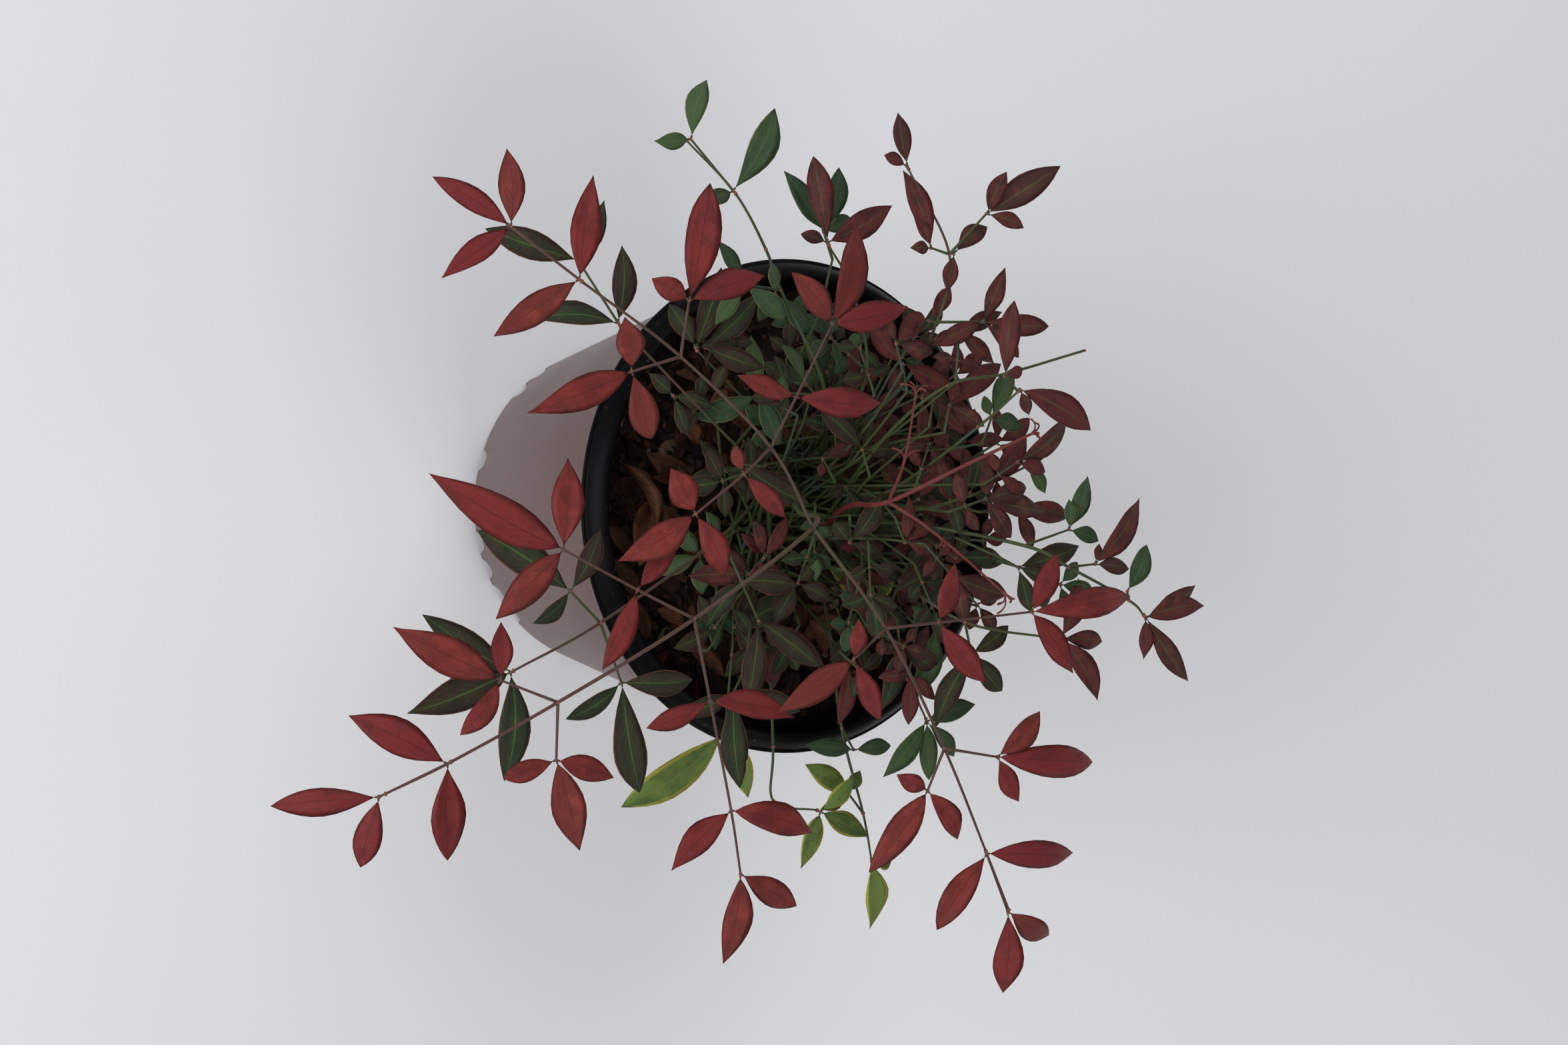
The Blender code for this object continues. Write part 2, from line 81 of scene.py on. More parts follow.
def ringFaces(rows, columns):
    # Quads between rings of points, row by row. The last point of each ring joins its first.
    row, column = np.meshgrid(np.arange(rows - 1), np.arange(columns), indexing="ij")
    after = (column + 1) % columns
    low, high = row * columns, (row + 1) * columns
    return np.stack([low + column, low + after, high + after, high + column], axis=-1).reshape(-1, 4)


def endFans(rows, columns):
    # Triangles that close the first and the last ring, on the two points that follow the rings' own
    around = np.arange(columns)
    after = (around + 1) % columns
    last = (rows - 1) * columns
    foot, tip = np.full(columns, rows * columns), np.full(columns, rows * columns + 1)
    return np.vstack([
        np.stack([after, around, foot], axis=-1), np.stack([last + around, last + after, tip], axis=-1),
    ])


def smoothPath(nodes, steps):
    # A Catmull-Rom curve through the nodes, evenly stepped between each two
    nodes = np.asarray(nodes, float)
    points = np.vstack([2 * nodes[0] - nodes[1], nodes, 2 * nodes[-1] - nodes[-2]])
    t = (np.arange(steps) / steps)[None, :, None]
    before, start, end, after = (points[i:len(points) - 3 + i, None] for i in range(4))
    curve = 0.5 * (
        2 * start
        + (end - before) * t
        + (2 * before - 5 * start + 4 * end - after) * t ** 2
        + (3 * start - before - 3 * end + after) * t ** 3
    )
    return np.vstack([curve.reshape(-1, 3), nodes[-1:]])


def repeatFaces(faces, copies, size):
    # The faces of many copies of one shape, each copy with so many points
    return (faces[None] + (np.arange(copies) * size)[:, None, None]).reshape(-1, faces.shape[1])


# Stalks: a round section carried along a path, thinning from foot to tip

class Tubes:
    def __init__(self, sides):
        self.sides = sides
        self.points, self.quads, self.fans, self.maps = [], [], [], []
        self.count = 0

    def add(self, path, radii, tones=(0, 1)):
        # A ring of radius r(t) round each path point, closed at both ends. Tones run along it into its map
        path = np.asarray(path, float)
        rows = len(path)
        radii = np.interp(np.linspace(0, 1, rows), np.linspace(0, 1, len(radii)), radii)
        along = unit(np.gradient(path, axis=0))
        spread = np.linalg.svd(path - path.mean(0), full_matrices=False)[2][-1]
        side = unit(spread - along * (along @ spread)[:, None])
        up = np.cross(along, side)
        turn = 2 * np.pi * np.arange(self.sides) / self.sides
        ring = side[:, None] * np.cos(turn)[None, :, None] + up[:, None] * np.sin(turn)[None, :, None]
        body = path[:, None] + ring * radii[:, None, None]
        caps = np.array([path[0] - along[0] * radii[0] * 0.5, path[-1] + along[-1] * radii[-1] * 0.5])
        tone = np.interp(np.linspace(0, 1, rows), np.linspace(0, 1, len(tones)), tones)
        tone = np.concatenate([np.repeat(tone, self.sides), [tones[0], tones[-1]]])
        places = np.stack([tone, np.concatenate([np.tile(turn / (2 * np.pi), rows), [0, 0]])], axis=-1)
        self.points += [body.reshape(-1, 3), caps]
        self.quads.append(ringFaces(rows, self.sides) + self.count)
        self.fans.append(endFans(rows, self.sides) + self.count)
        self.maps.append(places)
        self.count += len(places)

    def piece(self, name, material, slot, replaces):
        quads, fans = np.vstack(self.quads), np.vstack(self.fans)
        stalkMap = np.vstack(self.maps)[np.concatenate([quads.ravel(), fans.ravel()])]
        maps = {"stalkMap": stalkMap}
        addPiece(name, np.vstack(self.points), [quads, fans], [material], None, maps, replaces)


# Material helpers

def newMaterial(name):
    made = bpy.data.materials.new(name)
    made.use_nodes = True
    return made, made.node_tree, made.node_tree.nodes["Principled BSDF"]


def calc(tree, how, *values):
    # A Math node. Each value is a number or another node's output.
    node = tree.nodes.new("ShaderNodeMath")
    node.operation = how
    for socket, value in zip(node.inputs, values):
        if isinstance(value, (int, float)):
            socket.default_value = value
        else:
            tree.links.new(value, socket)
    return node.outputs[0]


def blendColours(tree, amount, first, second):
    node = tree.nodes.new("ShaderNodeMix")
    node.data_type = "RGBA"
    for socket, value in ((node.inputs[0], amount), (node.inputs[6], first), (node.inputs[7], second)):
        if isinstance(value, (int, float)):
            socket.default_value = value
        elif isinstance(value, tuple):
            socket.default_value = (*value, 1)
        else:
            tree.links.new(value, socket)
    return node.outputs[2]


def noise(tree, place, scale, detail=3.0, roughness=0.55):
    node = tree.nodes.new("ShaderNodeTexNoise")
    node.inputs["Scale"].default_value = scale
    node.inputs["Detail"].default_value = detail
    node.inputs["Roughness"].default_value = roughness
    tree.links.new(place, node.inputs["Vector"])
    return node.outputs[0]


def ramp(tree, value, low, high, to=(0.0, 1.0)):
    node = tree.nodes.new("ShaderNodeMapRange")
    node.interpolation_type = "SMOOTHSTEP"
    node.inputs["From Min"].default_value = low
    node.inputs["From Max"].default_value = high
    node.inputs["To Min"].default_value = to[0]
    node.inputs["To Max"].default_value = to[1]
    tree.links.new(value, node.inputs["Value"])
    return node.outputs[0]


def objectPlace(tree):
    return tree.nodes.new("ShaderNodeTexCoord").outputs["Object"]


def mapPlace(tree, name):
    node = tree.nodes.new("ShaderNodeUVMap")
    node.uv_map = name
    return node.outputs[0]


def bump(tree, shader, height, strength, distance):
    node = tree.nodes.new("ShaderNodeBump")
    node.inputs["Strength"].default_value = strength
    node.inputs["Distance"].default_value = distance
    tree.links.new(height, node.inputs["Height"])
    tree.links.new(node.outputs[0], shader.inputs["Normal"])


def stretchedPlace(tree, place, scale):
    # Places squeezed along the axes, so that a noise on them is drawn out
    node = tree.nodes.new("ShaderNodeMapping")
    node.inputs["Scale"].default_value = scale
    tree.links.new(place, node.inputs["Vector"])
    return node.outputs[0]


def dress(tree, shader, colour, height, plan):
    # Colour, plain roughness and specular, and relief as (strength, depth in metres)
    tree.links.new(colour, shader.inputs["Base Color"])
    shader.inputs["Roughness"].default_value = plan["roughness"]
    shader.inputs["Specular IOR Level"].default_value = plan["specular"]
    bump(tree, shader, height, *plan["relief"])


def newGroup(name, inputs, outputs):
    # A node group with named sockets. inputs maps names to default values, or to None for a vector.
    group = bpy.data.node_groups.new(name, "ShaderNodeTree")
    for label, value in inputs.items():
        kind = "NodeSocketVector" if value is None else "NodeSocketFloat"
        socket = group.interface.new_socket(label, in_out="INPUT", socket_type=kind)
        if value is not None:
            socket.default_value = value
    for label in outputs:
        group.interface.new_socket(label, in_out="OUTPUT", socket_type="NodeSocketFloat")
    return group, group.nodes.new("NodeGroupInput").outputs, group.nodes.new("NodeGroupOutput").inputs


def placeGroup(tree, group, values):
    node = tree.nodes.new("ShaderNodeGroup")
    node.node_tree = group
    for label, value in values.items():
        if isinstance(value, (int, float)):
            node.inputs[label].default_value = value
        else:
            tree.links.new(value, node.inputs[label])
    return node.outputs


def leafPatternGroup():
    # From a leaf's own map, where x is the leaf's number plus the way along it and y the way across, come
    # masks of the midrib, side veins and fine net, a slow mottle, and how far a point is from the midrib.
    group, given, out = newGroup(
        "leaf pattern",
        {"Place": None, "Veins": 9.0, "Slant": 0.34, "Net": 60.0},
        ["Midrib", "Side veins", "Net", "Mottle", "Leaf tone", "Across"],
    )
    split = group.nodes.new("ShaderNodeSeparateXYZ")
    group.links.new(given["Place"], split.inputs[0])
    along = calc(group, "FRACT", split.outputs[0])
    number = calc(group, "FLOOR", split.outputs[0])
    across = calc(group, "ABSOLUTE", calc(group, "MULTIPLY_ADD", split.outputs[1], 2.0, -1.0))

    # Places stretched to the leaf's own proportions, a different stretch of noise for each leaf
    stretched = group.nodes.new("ShaderNodeCombineXYZ")
    group.links.new(along, stretched.inputs[0])
    group.links.new(calc(group, "MULTIPLY", split.outputs[1], 0.38), stretched.inputs[1])
    group.links.new(calc(group, "MULTIPLY", number, 3.7), stretched.inputs[2])
    wobble = noise(group, stretched.outputs[0], 9.0, 2.0)

    thickness = calc(group, "MULTIPLY_ADD", along, -0.04, 0.075)
    nearness = calc(group, "DIVIDE", across, thickness)
    group.links.new(ramp(group, nearness, 0.35, 1.1, (1.0, 0.0)), out["Midrib"])

    # Side veins leave the midrib forwards and bend along the margin
    bend = calc(group, "MULTIPLY", calc(group, "POWER", across, 0.75), given["Slant"])
    phase = calc(group, "MULTIPLY", calc(group, "SUBTRACT", along, bend), given["Veins"])
    side = calc(group, "SIGN", calc(group, "SUBTRACT", split.outputs[1], 0.5))
    phase = calc(group, "ADD", phase, calc(group, "MULTIPLY", side, 0.22))
    phase = calc(group, "ADD", phase, calc(group, "MULTIPLY_ADD", wobble, 1.1, number))
    ridge = calc(group, "ABSOLUTE", calc(group, "SUBTRACT", calc(group, "FRACT", phase), 0.5))
    veins = ramp(group, ridge, 0.0, 0.15, (1.0, 0.0))
    fade = ramp(group, across, 0.45, 0.97, (1.0, 0.0))
    group.links.new(calc(group, "MULTIPLY", veins, fade), out["Side veins"])

    cells = group.nodes.new("ShaderNodeTexVoronoi")
    cells.feature = "DISTANCE_TO_EDGE"
    group.links.new(given["Net"], cells.inputs["Scale"])
    group.links.new(stretched.outputs[0], cells.inputs["Vector"])
    group.links.new(ramp(group, cells.outputs[0], 0.0, 0.16, (1.0, 0.0)), out["Net"])

    group.links.new(noise(group, stretched.outputs[0], 4.0, 4.0, 0.6), out["Mottle"])
    scatter = group.nodes.new("ShaderNodeTexWhiteNoise")
    scatter.noise_dimensions = "1D"
    group.links.new(number, scatter.inputs["W"])
    group.links.new(scatter.outputs[0], out["Leaf tone"])
    group.links.new(across, out["Across"])
    return group


def fineGrainGroup():
    # Fine skin relief from two noises on the object's own places
    group, given, out = newGroup("fine grain", {"Place": None, "Size": 900.0, "Depth": 1.0}, ["Height"])
    coarse = group.nodes.new("ShaderNodeTexNoise")
    fine = group.nodes.new("ShaderNodeTexNoise")
    for node, share in ((coarse, 0.25), (fine, 1.0)):
        node.inputs["Detail"].default_value = 2.0
        group.links.new(given["Place"], node.inputs["Vector"])
        group.links.new(calc(group, "MULTIPLY", given["Size"], share), node.inputs["Scale"])
    mixed = calc(group, "MULTIPLY", calc(group, "ADD", coarse.outputs[0], fine.outputs[0]), given["Depth"])
    group.links.new(mixed, out["Height"])
    return group


leafPattern = leafPatternGroup()
fineGrain = fineGrainGroup()

# Leaf finishes. flesh and flush mix by mottle, feather spreads the veins' colour from the midrib outwards,
# and veins and margin lie over them.
leafKinds = {
    "red": dict(
        flesh=(0.200, 0.025, 0.022), flush=(0.125, 0.017, 0.016), under=(0.26, 0.12, 0.10), roughness=0.46,
        vein=(0.31, 0.060, 0.036), veinStrength=0.26, net=0.12, feather=0.0,
        midrib=(0.085, 0.012, 0.014), midribStrength=0.62,
        margin=(0.110, 0.018, 0.014), marginStrength=0.6, marginWidth=0.09,
    ),
    "burgundy": dict(
        flesh=(0.130, 0.020, 0.022), flush=(0.050, 0.013, 0.015), under=(0.17, 0.10, 0.08), roughness=0.44,
        vein=(0.085, 0.085, 0.028), veinStrength=0.50, net=0.20, feather=0.15,
        midrib=(0.095, 0.105, 0.034), midribStrength=0.65,
        margin=(0.19, 0.055, 0.032), marginStrength=0.70, marginWidth=0.11,
    ),
    "bronze": dict(
        flesh=(0.040, 0.018, 0.016), flush=(0.021, 0.024, 0.015), under=(0.13, 0.14, 0.10), roughness=0.44,
        vein=(0.060, 0.115, 0.026), veinStrength=0.80, net=0.42, feather=0.20,
        midrib=(0.085, 0.170, 0.036), midribStrength=0.75,
        margin=(0.23, 0.10, 0.040), marginStrength=0.8, marginWidth=0.12,
    ),
    "green": dict(
        flesh=(0.025, 0.054, 0.029), flush=(0.052, 0.084, 0.031), under=(0.16, 0.21, 0.15), roughness=0.44,
        vein=(0.080, 0.145, 0.045), veinStrength=0.36, net=0.18, feather=0.16,
        midrib=(0.085, 0.135, 0.050), midribStrength=0.7,
        margin=(0.26, 0.29, 0.10), marginStrength=0.85, marginWidth=0.13,
    ),
    "lime": dict(
        flesh=(0.055, 0.096, 0.022), flush=(0.125, 0.172, 0.038), under=(0.20, 0.27, 0.14), roughness=0.46,
        vein=(0.12, 0.18, 0.040), veinStrength=0.32, net=0.14, feather=0.0,
        midrib=(0.13, 0.19, 0.055), midribStrength=0.7,
        margin=(0.44, 0.40, 0.060), marginStrength=0.92, marginWidth=0.30,
    ),
}

# What all kinds share: how far leaves differ in blotch, lightness and hue, the margin's raggedness, and the
# relief's shares of veins, grain and mottle
leafSkin = dict(
    blotch=0.30, lightness=(0.84, 1.16), hue=0.012, ragged=0.06, roughnessSpread=0.16, specular=0.22,
    grainSize=2400.0, veinRelief=-0.8, grainRelief=0.12, mottleRelief=0.7, relief=(0.6, 0.00050),
)
underSkin = dict(bloom=(0.34, 0.34, 0.24), ribs=0.5, roughness=0.6, specular=0.2, relief=(0.5, 0.0003))


def leafMaterial(name, plan):
    made, tree, shader = newMaterial(name + " leaf")
    skin = leafSkin
    pattern = placeGroup(tree, leafPattern, {"Place": mapPlace(tree, "leafMap")})
    lean = calc(tree, "MULTIPLY_ADD", pattern["Leaf tone"], skin["blotch"], -skin["blotch"] / 2)
    blotch = ramp(tree, calc(tree, "ADD", pattern["Mottle"], lean), 0.36, 0.64)
    colour = blendColours(tree, blotch, plan["flesh"], plan["flush"])
    patchy = ramp(tree, pattern["Mottle"], 0.32, 0.66, (1.0, 0.25))
    inner = calc(tree, "POWER", calc(tree, "SUBTRACT", 1.0, pattern["Across"]), 1.8)
    if plan["feather"]:
        glow = calc(tree, "MULTIPLY", calc(tree, "MULTIPLY", inner, patchy), plan["feather"])
        colour = blendColours(tree, glow, colour, plan["vein"])
    net = calc(tree, "MULTIPLY", pattern["Net"], plan["net"])
    veins = calc(tree, "MAXIMUM", net, calc(tree, "MULTIPLY", pattern["Side veins"], plan["veinStrength"]))
    nearer = calc(tree, "MULTIPLY_ADD", inner, 0.75, 0.25)
    shown = calc(tree, "MULTIPLY", calc(tree, "MULTIPLY", veins, patchy), nearer)
    colour = blendColours(tree, shown, colour, plan["vein"])
    midrib = calc(tree, "MULTIPLY", pattern["Midrib"], plan["midribStrength"])
    colour = blendColours(tree, midrib, colour, plan["midrib"])
    torn = calc(tree, "MULTIPLY_ADD", pattern["Mottle"], skin["ragged"], pattern["Across"])
    edge = ramp(tree, torn, 1.03 - plan["marginWidth"], 1.03 - plan["marginWidth"] * 0.3)
    colour = blendColours(tree, calc(tree, "MULTIPLY", edge, plan["marginStrength"]), colour, plan["margin"])
    own = tree.nodes.new("ShaderNodeHueSaturation")
    tree.links.new(ramp(tree, pattern["Leaf tone"], 0.0, 1.0, skin["lightness"]), own.inputs["Value"])
    hue = calc(tree, "MULTIPLY_ADD", pattern["Leaf tone"], skin["hue"], 0.5 - skin["hue"] / 2)
    tree.links.new(hue, own.inputs["Hue"])
    tree.links.new(colour, own.inputs["Color"])
    grain = placeGroup(tree, fineGrain, {"Place": objectPlace(tree), "Size": skin["grainSize"]})
    tree.links.new(own.outputs[0], shader.inputs["Base Color"])
    rough = calc(tree, "MULTIPLY_ADD", pattern["Mottle"], skin["roughnessSpread"], plan["roughness"] - 0.06)
    tree.links.new(rough, shader.inputs["Roughness"])
    height = calc(tree, "MULTIPLY", veins, skin["veinRelief"])
    height = calc(tree, "ADD", height, calc(tree, "MULTIPLY", grain["Height"], skin["grainRelief"]))
    height = calc(tree, "ADD", height, calc(tree, "MULTIPLY", pattern["Mottle"], skin["mottleRelief"]))
    bump(tree, shader, height, *skin["relief"])
    shader.inputs["Specular IOR Level"].default_value = skin["specular"]
    return made


def leafUnderMaterial(name, plan):
    made, tree, shader = newMaterial(name + " leaf underside")
    pattern = placeGroup(tree, leafPattern, {"Place": mapPlace(tree, "leafMap")})
    colour = blendColours(tree, ramp(tree, pattern["Mottle"], 0.3, 0.7), plan["under"], plan["flesh"])
    colour = blendColours(tree, 0.55, colour, plan["under"])
    ribs = calc(tree, "MAXIMUM", pattern["Midrib"], calc(tree, "MULTIPLY", pattern["Side veins"], 0.35))
    pale = blendColours(tree, 0.5, plan["under"], underSkin["bloom"])
    colour = blendColours(tree, calc(tree, "MULTIPLY", ribs, underSkin["ribs"]), colour, pale)
    dress(tree, shader, colour, ribs, underSkin)
    return made


leafMaterials = {
    kind: (leafMaterial(kind, plan), leafUnderMaterial(kind, plan)) for kind, plan in leafKinds.items()
}

# Leaf blades. Widths are shares of the length, and each spread is how far a blade may differ.
leafShape = dict(
    rows=9, width=0.186, widthSpread=0.08, wave=0.022, skew=0.10, thickness=0.11, tilt=0.17,
    fold=0.27, foldSpread=0.15, curl=0.13, arch=0.06, archSpread=0.045, bend=0.05, twist=0.24, ripple=0.07,
    early=1.12, earlySpread=0.20, late=1.14, lateSpread=0.22,
)
kindWidths = {"red": 0.97, "burgundy": 0.90, "bronze": 0.95, "green": 0.93, "lime": 1.02}

# Where the points of one row lie: from edge to edge over the upper face, then back along the underside
topAcross = np.array([-1, -0.55, 0, 0.55, 1])
underAcross = np.array([0.55, 0, -0.55])
acrossBlade = np.concatenate([topAcross, underAcross])


def bladeRows(shape):
    # Where the rows lie along a blade, closer together towards both ends
    even = np.linspace(0, 1, shape["rows"] + 2)[1:-1]
    return 0.65 * even + 0.35 * (1 - np.cos(np.pi * even)) / 2


def bladePoints(leaves, shape, seed):
    # Along t and across v, a blade is t * length forwards, v * halfWidth(t) sideways, and upwards an arch
    # over its chord, a fold that opens from the midrib, a curl at the margin and a ripple. halfWidth is t to
    # a power times (1 - t) to a power, so the blade is broadest near its middle and pointed at both ends.
    chance = np.random.default_rng(seed)
    base, tip, up = (np.array([leaf[key] for leaf in leaves], float) for key in ("base", "tip", "up"))
    count = len(leaves)
    chord = tip - base
    length = np.linalg.norm(chord, axis=1)
    ahead = chord / length[:, None]
    up = unit(up + chance.normal(0, shape["tilt"], (count, 3)))
    up = unit(up - ahead * np.sum(up * ahead, axis=1, keepdims=True))
    left = np.cross(up, ahead)

    def spread(middle, away):
        return (middle + chance.uniform(-away, away, count))[:, None, None]

    t = bladeRows(shape)[None, :, None]
    v = acrossBlade[None, None, :]
    isTop = (np.arange(len(acrossBlade)) < len(topAcross))[None, None, :]
    size = length[:, None, None]
    early = spread(shape["early"], shape["earlySpread"])
    late = spread(shape["late"], shape["lateSpread"])
    peak = early / (early + late)
    broad = (t / peak) ** early * ((1 - t) / (1 - peak)) ** late
    slim = np.array([leaf.get("slim", 1.0) for leaf in leaves])[:, None, None]
    half = spread(shape["width"], shape["widthSpread"] * shape["width"]) * slim * broad * size
    half = half * (1 + shape["wave"] * np.sin(spread(8, 3) * t + spread(0, 3)))
    half = half * (1 + spread(0, shape["skew"]) * v)
    fold = spread(shape["fold"], shape["foldSpread"])
    arch = spread(shape["arch"], shape["archSpread"])
    bend = spread(0, shape["bend"])
    twist = spread(0, shape["twist"])
    phase = spread(0, 3)
    bow = size * 4 * t * (1 - t)
    y = v * half + bend * bow
    rise = half * (fold * np.abs(v) - shape["curl"] * v ** 2) + arch * bow
    rise = rise + half * shape["ripple"] * np.abs(v) ** 3 * np.sin(phase + t * 9 + 2 * v)
    body = shape["thickness"] * (1 - v ** 2) * np.minimum(1, 6 * (1 - t)) * np.minimum(1, 8 * t + 0.3)
    z = rise + np.where(isTop, body, -body)
    yTurned = y * np.cos(twist * t) - z * np.sin(twist * t)
    zTurned = y * np.sin(twist * t) + z * np.cos(twist * t)
    points = sum(
        way[:, None, None] * share[..., None]
        for way, share in ((ahead, t * size + 0 * v), (left, yTurned), (up, zTurned))
    ) + base[:, None, None]
    return np.concatenate([points.reshape(count, -1, 3), base[:, None], tip[:, None]], axis=1)


def bladeFaces(rows):
    # Triangles of one blade, and which of them are its underside. The upper face and the underside are cut
    # along the same slants, so that neither comes through the other.
    ring = len(acrossBlade)
    underColumns = np.arange(ring) >= len(topAcross) - 1
    isUnder = np.tile(underColumns, rows - 1)
    a, b, c, d = ringFaces(rows, ring).T
    triangles = np.vstack([
        np.stack([a, b, np.where(isUnder, d, c)], axis=-1),
        np.stack([np.where(isUnder, b, a), c, d], axis=-1),
        endFans(rows, ring),
    ])
    return triangles[:, ::-1], np.concatenate([isUnder, isUnder, underColumns, underColumns]).astype(int)


def bladeMaps(count, shape, faces, faceKinds):
    # In leafMap, x is the leaf's number plus the way along it and y the way across. OFBake is a sheet with a
    # box to each leaf, upper face above its underside, for whoever bakes the pattern.
    rows = bladeRows(shape)
    place = np.stack([np.repeat(rows, len(acrossBlade)), np.tile((acrossBlade + 1) / 2, len(rows))], axis=-1)
    place = np.vstack([place, [[0.002, 0.5], [0.998, 0.5]]])
    places = np.tile(place[None], (count, 1, 1))
    places[:, :, 0] += np.arange(count)[:, None]
    leafMap = places.reshape(-1, 2)[faces.ravel()]
    columns = math.ceil(math.sqrt(count * 3))
    lines = math.ceil(count / columns)
    number = np.clip(np.floor(leafMap[:, 0] - 1e-6), 0, count - 1)
    along = 0.03 + 0.44 * (leafMap[:, 0] - number)
    sheetX = (number % columns + 0.04 + 0.92 * leafMap[:, 1]) / columns
    sheetY = (np.floor(number / columns) + along + 0.5 * np.repeat(faceKinds, 3)) / lines
    return {"leafMap": leafMap, "OFBake": np.stack([sheetX, sheetY], axis=-1)}


def leafBlades(leaves, shape, seed):
    # Many blades in one mesh: points, faces, which faces are undersides, and maps
    points = bladePoints(leaves, shape, seed)
    triangles, kinds = bladeFaces(shape["rows"])
    faces = repeatFaces(triangles, len(leaves), points.shape[1])
    faceKinds = np.tile(kinds, len(leaves))
    return points.reshape(-1, 3), [faces], faceKinds, bladeMaps(len(leaves), shape, faces, faceKinds)


# The plant's plan, close to the frame's: canes, limbs and sprays, in millimetres and degrees

soilTop = 104.0
canePlan = dict(
    length=26.0, footRadius=3.6, tipRadius=2.6, sunk=4.0, sides=40, rows=60, flare=1.0,
    scars=(0.34, 0.58, 0.8), scarDepth=0.32, cutFrom=0.965,
    canes={
        "cane_1": dict(foot=(-8, -8), lean=9, heading=-100),
        "cane_2": dict(foot=(4, 5), lean=8, heading=40),
        "cane_3": dict(foot=(-13, 6), lean=10, heading=170),
    },
)

limbs = {
    "top_frond_stalk": dict(
        cane="cane_1", up=0.9, thick=(2.3, 1.0), tones=(0.2, 0.5, 0.75, 0.85, 0.95),
        nodes=[
            (2, -34, 168), (7, -55, 206), (34, -102, 212), (58, -143, 202), (75, -172, 190), (84, -189, 182),
        ],
    ),
    "top_frond_right_rib": dict(
        limb="top_frond_stalk", node=1, thick=(1.5, 0.9), tones=(0.6, 0.95),
        nodes=[(38, -32, 212), (76, -5, 206), (110, 19, 196), (130, 33, 190)],
    ),
    "top_frond_left_rib": dict(
        limb="top_frond_stalk", node=1, thick=(1.5, 0.9), tones=(0.6, 0.95),
        nodes=[(-17, -76, 214), (-43, -112, 220), (-64, -144, 217), (-80, -164, 209)],
    ),
    "dark_frond_stalk": dict(
        cane="cane_1", up=0.6, thick=(1.9, 1.0), tones=(0.2, 0.7, 0.75),
        nodes=[(10, -50, 148), (36, -110, 172), (50, -138, 168)],
    ),
    "green_frond_stalk": dict(
        cane="cane_3", up=0.85, thick=(1.9, 0.9),
        nodes=[(-39, -19, 160), (-67, -47, 177), (-79, -56, 182), (-96, -66, 180), (-112, -80, 174)],
    ),
    "middle_frond_stalk": dict(
        cane="cane_3", up=0.6, thick=(1.7, 0.9),
        nodes=[(-40, -8, 168), (-66, -30, 192), (-80, -42, 196)],
    ),
    "back_left_stalk": dict(
        cane="cane_3", up=0.88, thick=(1.9, 0.9), tones=(0.1, 0.55, 0.7),
        nodes=[(-38, 8, 165), (-58, 4, 190), (-79, 3, 198), (-105, -13, 198)],
    ),
    "back_stalk": dict(
        cane="cane_2", up=0.88, thick=(1.8, 1.0),
        nodes=[(-8, 14, 160), (-25, 19, 192), (-36, 25, 205)],
    ),
    "right_frond_stalk": dict(
        cane="cane_2", up=0.78, thick=(2.0, 1.0),
        nodes=[(6, 18, 156), (13, 44, 184), (20, 56, 192), (31, 78, 196), (36, 86, 194)],
    ),
    "right_low_stalk": dict(
        cane="cane_2", up=0.7, thick=(1.8, 1.0),
        nodes=[(22, 16, 148), (38, 32, 168), (44, 68, 172)],
    ),
    "low_left_stalk": dict(
        cane="cane_1", up=0.5, thick=(1.7, 0.9),
        nodes=[(38, -22, 134), (78, -26, 142), (96, -23, 138), (100, -3, 134)],
    ),
    "low_middle_stalk": dict(
        cane="cane_2", up=0.45, thick=(1.8, 0.9),
        nodes=[(38, 4, 130), (73, 4, 138), (102, 17, 132), (118, 24, 127)],
    ),
    "low_right_stalk": dict(
        cane="cane_2", up=0.55, thick=(1.6, 0.9),
        nodes=[(32, 16, 136), (57, 22, 150), (70, 28, 152)],
    ),
    "front_low_stalk": dict(
        cane="cane_1", up=0.4, thick=(1.7, 0.9),
        nodes=[(20, -30, 128), (48, -42, 142), (72, -48, 147)],
    ),
    "under_left_stalk": dict(
        cane="cane_1", up=0.7, thick=(1.8, 0.9), tones=(0.1, 0.5, 0.7),
        nodes=[(-18, -46, 152), (-54, -108, 180)],
    ),
    "inner_left_stalk": dict(
        cane="cane_3", up=0.4, thick=(1.6, 0.9),
        nodes=[(-28, -30, 142), (-48, -71, 166)],
    ),
}

flowerStalk = dict(
    cane="cane_2", up=0.89, thick=(2.1, 0.9),
    nodes=[(0, -8, 160), (-1, -12, 186), (-12, 2, 206), (-22, 18, 220)],
)

